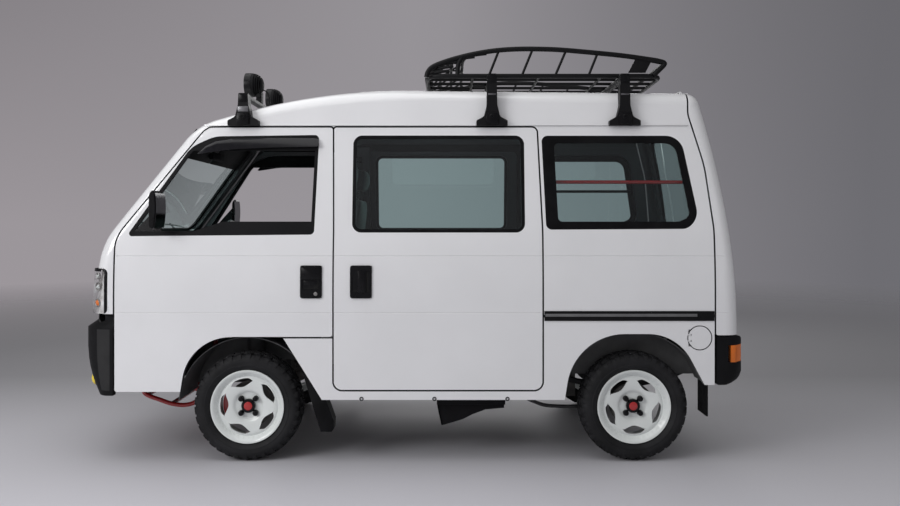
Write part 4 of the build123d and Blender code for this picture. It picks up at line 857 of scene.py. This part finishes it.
# wind deflector over the front side window, rows of x, z along its upper and lower edge
VISOR_TOP = ((-1066, 1513), (-1028, 1552), (-977, 1576), (-887, 1588), (-700, 1591), (-484, 1591), (-468, 1584))
VISOR_LOW = ((-1058, 1510), (-1008, 1517), (-950, 1526), (-862, 1534), (-690, 1542), (-478, 1546), (-462, 1550))
VISOR_T = 3
for side, side_name in SIDES:
    visor = Shape()
    loops = []
    for (x0, z0), (x1, z1) in zip(VISOR_TOP, VISOR_LOW):
        rows = [(x0 + (x1 - x0) * t, z0 + (z1 - z0) * t, 9 + 15 * sqrt(t)) for t in (0, 0.12, 0.35, 0.7, 1)]
        loops.append([(x, side * (skin_y(z) + lift), z) for x, z, lift in rows]
                     + [(x, side * (skin_y(z) + lift - VISOR_T), z) for x, z, lift in rows[::-1]])
    visor.rings(loops)
    visor.piece("visor_" + side_name, "front_door_" + side_name, "smoke", 50)
SEAL_IN, SEAL_OUT = -50, -38
seals = Shape()
for side in (-1, 1):
    outer, inner = round_rect((-414, 330), (664, 1672), 40), round_rect((-362, 380), (612, 1626), 30)
    frame_on_side(seals, side, outer, inner, SEAL_IN, SEAL_OUT)
    on_side(seals, side, ((-1010, 1626), (-1010, 1668), (-366, 1668), (-366, 1626)), SEAL_IN, SEAL_OUT, 1.5)
seals.piece("door_seals", "body", "rubber")

# ---------------------------------------------------------------- feet of the roof bars: straps, covers and knobs
GUTTER_Z = 1652
FOOT_FACE_Y = 640
# x of the bar, height of the strap, height of the bar, half width and half height of the strap
FEET = ((-839, 1733, 1800, 26, 13), (392, 1806, 1896, 20, 4), (1050, 1806, 1896, 20, 4))
# cover of the foot: distance from the bar, height over the gutter
COVER = ((-30, 6), (-31, 40), (-27, 62), (27, 62), (31, 40), (30, 6))
KNOB = ((13, 0), (13, 12), (11, 14), (6, 14), (5, 11), (0, 11))
straps, covers = Shape(), Shape()
for x, strap_z, bar_z, half, tall in FEET:
    for side in (-1, 1):
        face = side * FOOT_FACE_Y
        straps.box((x - half, face, strap_z - tall), (x + half, face + side * 1.5, strap_z + tall), 0.6)
        covers.slab([(x + dx, GUTTER_Z + dz) for dx, dz in COVER], face, face + side * 9, 4)
        covers.lathe(KNOB, (x, face, GUTTER_Z + 42), (0, side, 0), 24)
        covers.slab(round_rect((x - 22, bar_z - 30), (x + 22, bar_z + 10), 8), side * 600, side * 645, 3)
straps.piece("foot_straps", "body", "band_steel")
covers.piece("foot_covers", "body", "smooth_plastic")

# ---------------------------------------------------------------- roof lamps
LAMP_Y, LAMP_Z, LAMP_FRONT_X = 257, 1914, -912
FORK_X, FORK_FOOT_Z, FORK_AXLE_Z = -846, 1824, 1856
WIRE_R = 3
WIRE_ROUTE = ((-829, 1888), (-812, 1885), (-796, 1864), (-789, 1826), (-790, 1777))
DISH = ((56, -2), (52, 3), (36, -3), (14, -7), (13, -2), (0, -2))
LENS = ((56, 4), (40, 7), (20, 9), (0, 9.5))
RIM = ((56.5, 0), (56.5, 6), (63.5, 5), (64.5, 1), (64.5, -30), (63, -31))
FORK_FOOT = ((0, 0), (17, 0), (17, 12), (12, 30), (0, 30))


def roof_lamp(side, name):
    y = side * LAMP_Y
    centre = (LAMP_FRONT_X, y, LAMP_Z)
    dish, lens, fork = Shape(), Shape(), Shape()
    dish.lathe(DISH, centre, (-1, 0, 0), 40)
    dish.piece("roof_lamp_dish_" + name, "body", "reflector")
    lens.lathe(LENS, centre, (-1, 0, 0), 40)
    lens.lathe(RIM, centre, (-1, 0, 0), 48)
    lens.piece("roof_lamp_rim_" + name, "body", "smooth_plastic")
    fork.tube([(FORK_X, y - 26, FORK_AXLE_Z), (FORK_X, y + 26, FORK_AXLE_Z)], 11, 20)
    fork.lathe(FORK_FOOT, (FORK_X, y, FORK_FOOT_Z), (0, 0, 1), 24)
    fork.piece("roof_lamp_fork_" + name, "body", "black_steel")
    route = [Vector((x, y, z)) for x, z in WIRE_ROUTE]
    data = bpy.data.curves.new("roof_lamp_wire_" + name, "CURVE")
    data.dimensions = "3D"
    data.bevel_depth = WIRE_R * MM
    data.bevel_resolution = 3
    run = data.splines.new("NURBS")
    run.points.add(len(route) - 1)
    for point, place in zip(run.points, route):
        point.co = (*place * MM, 1)
    run.order_u = 3
    run.use_endpoint_u = True
    wire = bpy.data.objects.new("roof_lamp_wire_" + name, data)
    bpy.context.scene.collection.objects.link(wire)
    data.materials.append(material("rubber"))
    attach(wire, "body")


for side, side_name in SIDES:
    roof_lamp(side, side_name)

# ---------------------------------------------------------------- gutter, waist rail, sill and underside
PLUG = ((5, -3), (9.5, -3), (10.5, 0), (9.5, 2), (5, 2))
PLUG_PLACES, PLUG_Z = (-247, 108, 464), 312
lips, line, plugs = Shape(), Shape(), Shape()
for side in (-1, 1):
    on_side(lips, side, ((-1040, 1653.5), (-1040, 1660), (1368, 1660), (1368, 1653.5)), 0, 5, 1.2)
    on_side(line, side, ((648, 713), (648, 727), (1387, 727), (1387, 713)), 5.5, 7, 0.4)
    for x in PLUG_PLACES:
        plugs.lathe(PLUG, (x, side * (BODY_HALF + 1), PLUG_Z), (0, side, 0), 24, closed=True)
lips.piece("gutter_lips", "body", "white_paint")
line.piece("waist_rail_line", "body", "grey_plastic")
plugs.piece("sill_plugs", "body", "chassis")
APRON = ((118, 268), (128, 214), (141, 158), (158, 160), (250, 188), (296, 212), (360, 238), (455, 244), (455, 268))
apron, brace = Shape(), Shape()
apron.slab(APRON, -590, -575, 2)
apron.slab(((118, 268), (141, 158), (150, 158), (127, 268)), -590, -300, 1)
apron.box((118, -600, 262), (460, -280, 310), 2)
apron.piece("under_apron", "body", "black_plastic")
brace.tube(spline([(545, -560, 300), (610, -555, 268), (690, -550, 246), (900, -545, 240)]), 9, 12)
brace.piece("rear_links", "body", "chassis")

# ---------------------------------------------------------------- wipers
SCREEN_LOW, SCREEN_HIGH = Vector((-1531, 1136)), Vector((-1088, 1701))
SCREEN_OUT = Vector((-0.787, 0, 0.617))
CROWN_Z = 1880 - 4050
WIPERS = ((-330, 110), (130, 560))  # y of the blade's far end and of the pivot
WIPER_CAP = ((0, 16), (8, 15), (12, 8), (13, 0))


def screen_point(share, y, lift):
    """Point over the windscreen: share of the way up it, and how far it lies out of the glass."""
    x, z = SCREEN_LOW + (SCREEN_HIGH - SCREEN_LOW) * share
    return Vector((x, y, sqrt((z - CROWN_Z) ** 2 - y * y) + CROWN_Z)) + SCREEN_OUT * lift


wipers = Shape()
for far_y, pivot_y in WIPERS:
    wipers.tube([screen_point(0.045 + 0.03 * k / 6, far_y + (pivot_y - far_y) * k / 6 - 60, 7) for k in range(7)], 4, 8)
    arm = ((-0.04, pivot_y, 10), (0.0, pivot_y - 20, 20), (0.06, (far_y + pivot_y) / 2 - 60, 16))
    wipers.tube([screen_point(*place) for place in arm], 5, 8)
    wipers.lathe(WIPER_CAP, screen_point(-0.045, pivot_y, 0), SCREEN_OUT, 20)
wipers.piece("wipers", "body", "smooth_plastic")

# ---------------------------------------------------------------- seats
PAD_STEPS = 14
PAD_POWER = 5.0
CROWN, PULL = 0.35, 0.07
GROOVE_DEPTH, GROOVE_WIDTH, GROOVE_BASE = 0.22, 0.045, 2.718
WELT_R = 4


def leaned(x, y, z, centre, lean):
    """A pad's own point, turned about Y by lean degrees and set at its centre."""
    turn = radians(lean)
    return Vector(centre) + Vector((x * cos(turn) + z * sin(turn), y, -x * sin(turn) + z * cos(turn)))


def cushion(shape, centre, half, lean, grooves):
    """Crowned pad: half is its half length, width and thickness, lean its turn about Y (degrees).
    Its sides pull in between the corners; each groove is a sewn line: 0 along or 1 across, and its place, -1 to 1."""
    found = {}

    def vertex(p):
        key = tuple(round(c, 5) for c in p)
        if key not in found:
            x, y, z = p
            reach = max(abs(x), abs(y))
            norm = (abs(x) ** PAD_POWER + abs(y) ** PAD_POWER + abs(z) ** PAD_POWER) ** (1 / PAD_POWER)
            x, y, z = x / norm, y / norm, z / norm
            bulge = 1 - CROWN + CROWN * (1 - x * x) * (1 - y * y)
            px = x * (1 - PULL * (1 - y * y) * (abs(x) ** 3))
            py = y * (1 - PULL * (1 - x * x) * (abs(y) ** 3))
            pz = z * (bulge + 0.12 * (1 - reach))
            if z > 0.2:
                for way, place in grooves:
                    away = (y if way == 0 else x) - place
                    pz -= GROOVE_DEPTH * z * GROOVE_BASE ** (-(away / GROOVE_WIDTH) ** 2)
            found[key] = shape.vert(leaned(px * half[0], py * half[1], pz * half[2], centre, lean))
        return found[key]

    for axis in range(3):
        for sign in (-1, 1):
            for i in range(PAD_STEPS * 2):
                for j in range(PAD_STEPS * 2):
                    corners = []
                    for di, dj in ((0, 0), (1, 0), (1, 1), (0, 1)):
                        p = [0, 0, 0]
                        p[axis] = sign
                        p[(axis + 1) % 3] = -1 + (i + di) / PAD_STEPS
                        p[(axis + 2) % 3] = -1 + (j + dj) / PAD_STEPS
                        corners.append(vertex(p))
                    shape.mesh.faces.new(corners if sign > 0 else corners[::-1])


def welt(shape, centre, half, lean):
    """Piping round the edge of a pad."""
    outline = round_rect((-half[0], -half[1]), (half[0], half[1]), min(half[0], half[1]) * 0.3, 6)
    shape.tube([leaned(x * 0.97, y * 0.97, half[2] * 0.62, centre, lean) for x, y in outline], WELT_R, 8, closed=True)


SEAT_Y = 320
# pad: centre x and z, half length, width and thickness, lean, sewn lines
FRONT_PADS = (
    ((-640, 752), (205, 212, 58), 2, ((0, -0.5), (0, 0.5), (1, -0.35), (1, 0.35))),
    ((-402, 1064), (262, 208, 46), -80, ((0, -0.5), (0, 0.5), (1, -0.5), (1, 0.1), (1, 0.6))),
    ((-352, 1424), (66, 118, 40), -84, ()),
)
REAR_PADS = (
    ((352, 764), (205, 550, 52), 2, ((0, -0.36), (0, 0.36), (1, 0.0))),
    ((640, 998), (196, 545, 38), -82, ((0, -0.36), (0, 0.36), (1, 0.0))),
)
seats, bench, piping, posts = Shape(), Shape(), Shape(), Shape()
for side in (-1, 1):
    seat_y = side * SEAT_Y
    for (x, z), half, lean, grooves in FRONT_PADS:
        cushion(seats, (x, seat_y, z), half, lean, grooves)
        welt(piping, (x, seat_y, z), half, lean)
    posts.box((-820, seat_y - 190, 641), (-470, seat_y + 190, 704), 10)
    for y in (seat_y - 45, seat_y + 45):
        posts.tube([(-362, y, 1300), (-352, y, 1400)], 6)
front_pads = seats.piece("front_seat_pads", "body", "seat_cloth", 60)
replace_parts(front_pads, "front_seats")
for (x, z), half, lean, grooves in REAR_PADS:
    cushion(bench, (x, 0, z), half, lean, grooves)
    welt(piping, (x, 0, z), half, lean)
posts.box((170, -540, 641), (640, 540, 716), 12)
rear_pads = bench.piece("rear_seat_pads", "body", "seat_cloth", 60)
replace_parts(rear_pads, "rear_seat")
piping.piece("seat_piping", "body", "belt_cloth")
posts.piece("seat_frames", "body", "chassis")

# ---------------------------------------------------------------- cabin trim
CARD_FACE_Y = BODY_HALF - 38
BELT_X, BELT_TOP_Z, BELT_LOW_Z, BELT_DEPTH = -392, 1560, 700, 92
for side, side_name in SIDES:
    card, belt, anchor = Shape(), Shape(), Shape()
    on_side(card, side, round_rect((-1330, 700), (-430, 1075), 40), -37, -44, 2)
    card.box((-900, side * (CARD_FACE_Y - 45), 905), (-560, side * (CARD_FACE_Y - 6), 940), 10, 3)
    card.piece("door_card_" + side_name, "front_door_" + side_name, "grey_plastic")
    ends = [(side * (skin_y(z) - BELT_DEPTH), z) for z in (BELT_LOW_Z, BELT_TOP_Z)]
    belt.prism(
        ((-24, 0), (24, 0), (24, 1), (-24, 1)),
        lambda x, end: (BELT_X + x, *ends[end]),
        lambda x, end: (BELT_X + x, ends[end][0] - side * 2, ends[end][1]),
    )
    belt.piece("seat_belt_" + side_name, "body", "belt_cloth")
    top_y = ends[1][0]
    anchor.box((-412, top_y, 1552), (-372, top_y - side * 14, 1592), 5, 3)
    anchor.piece("belt_anchor_" + side_name, "body", "smooth_plastic")
# both guard bars are red; the far one, on the right, is given black steel as painted shade
for side, side_name in SIDES:
    guard = Shape()
    guard.tube([(660, side * 600, 1373), (1345, side * 590, 1373)], 9, 12)
    guard.piece("guard_bar_" + side_name, "body", "red_paint" if side < 0 else "black_steel")
dash, header = Shape(), Shape()
dash.box((-1405, 190, 1040), (-1290, 480, 1105), 20, 4)
dash.box((-1300, -90, 900), (-1268, 120, 1000), 6)
for y in (-520, -60, 90, 540):
    dash.box((-1286, y - 48, 1012), (-1266, y + 48, 1046), 6)
dash.piece("dash_details", "body", "smooth_plastic")
# sun visors under the top of the windscreen, and the inside mirror
SUN_VISOR = ((-1198, 1512), (-1190, 1508), (-1080, 1636), (-1090, 1642))
for y0, y1 in ((-575, -12), (12, 575)):
    header.slab(SUN_VISOR, y0, y1, 3)
header.box((-1164, -115, 1524), (-1140, 115, 1588), 10, 4)
header.box((-1150, -12, 1580), (-1126, 12, 1640), 4)
header.piece("sun_visors", "body", "black_plastic")

# ---------------------------------------------------------------- stage and light
# floor colour runs from painted light in front of the van to painted shade behind it
FLOOR_PAINTED_LIGHT, FLOOR_PAINTED_SHADE = (0.66, 0.65, 0.7), (0.28, 0.276, 0.292)
ground = Look("stage_floor", FLOOR_PAINTED_LIGHT, 0.55)
place = ground.place.outputs["Object"]
depth = ground.node("SeparateXYZ", place).outputs["Y"]
painted_shade_share = ground.node("MapRange", depth, From_Min=-2.0, From_Max=1.6).outputs["Result"]
painted_light_and_shade = ground.node("MixRGB", painted_shade_share, (*FLOOR_PAINTED_LIGHT, 1), (*FLOOR_PAINTED_SHADE, 1))
ground.link(painted_light_and_shade.outputs["Color"], ground.shader.inputs["Base Color"])
far_away = ground.node("VectorMath", place, operation="LENGTH").outputs["Value"]
fade = ground.node("MapRange", far_away, From_Min=5, From_Max=14).outputs["Result"]
ground.show_mix(fade, ground.shader, ground.node("BsdfTransparent"), "Material Output")
floor_shape = Shape()
floor_shape.lathe(((0, 0), (4000, 0), (30000, 0)), (0, 0, 0), (0, 0, 1), 64)
stage_floor = floor_shape.piece("stage_floor", "body", "stage_floor")

# backdrop with painted light and shade: paler to the front of the van, darker towards its rear and its upper corners
BACKDROP = ((0.33, 0.305, 0.325), (0.155, 0.153, 0.168))
BACKDROP_MIDDLE, BACKDROP_CORNER_SHADE = (0.31, 0.295, 0.315), (0.13, 0.125, 0.135)
WORLD_STRENGTH = 0.4
world = bpy.data.worlds.new("world")
bpy.context.scene.world = world
world.use_nodes = True
sky = Nodes(world.node_tree)
glow = sky.tree.nodes["Background"]
glow.inputs["Color"].default_value = (1, 1, 1, 1)
glow.inputs["Strength"].default_value = WORLD_STRENGTH


def sky_math(operation, *values):
    return sky.node("Math", *values, operation=operation, use_clamp=operation == "SUBTRACT").outputs[0]


toward = sky.node("SeparateXYZ", sky.node("TexCoord").outputs["Generated"])
east, up = toward.outputs["X"], toward.outputs["Z"]
across = sky.node("ValToRGB", sky_math("MULTIPLY_ADD", east, 1.1, 0.5))
for element, colour in zip(across.color_ramp.elements, BACKDROP):
    element.color = (*colour, 1)
across.color_ramp.elements.new(0.45).color = (*BACKDROP_MIDDLE, 1)
corner_shade = sky_math("MULTIPLY", sky_math("MAXIMUM", up, 0), sky_math("ABSOLUTE", east))
dim = sky_math("SUBTRACT", 1, sky_math("MULTIPLY", corner_shade, 4.0))
tone = sky.node("MixRGB", dim, (*BACKDROP_CORNER_SHADE, 1), across.outputs["Color"])
seen = sky.node("Background", tone.outputs["Color"], Strength=1.0)
ray = sky.node("LightPath").outputs
either = sky_math("MAXIMUM", ray["Is Camera Ray"], ray["Is Transmission Ray"])
sky.show_mix(sky_math("MAXIMUM", either, ray["Is Glossy Ray"]), glow, seen, "World Output")


def softbox(name, place, target, size, power):
    data = bpy.data.lights.new(name, "AREA")
    data.shape = "RECTANGLE"
    data.size, data.size_y = size
    data.energy = power
    lamp = bpy.data.objects.new(name, data)
    lamp.location = place
    lamp.rotation_euler = (Vector(target) - Vector(place)).to_track_quat("-Z", "Y").to_euler()
    bpy.context.scene.collection.objects.link(lamp)
    lamp.visible_camera = False
    lamp.visible_transmission = False


# softboxes: name, place, target, size, watts
LAMPS = (
    ("overhead", (-1.4, -1.0, 4.6), (-0.2, 0, 0.8), (5.0, 3.2), 74),
    ("key", (-4.6, -4.4, 3.2), (-0.7, 0, 0.9), (3.0, 2.4), 150),
    ("fill", (4.5, -4.5, 2.4), (0.5, 0, 0.8), (2.6, 2.2), 6),
    ("back", (1.0, 5.4, 3.0), (0, 0, 1.0), (4.0, 2.0), 60),
)
for lamp_row in LAMPS:
    softbox(*lamp_row)

bpy.context.scene.view_settings.view_transform = "Standard"
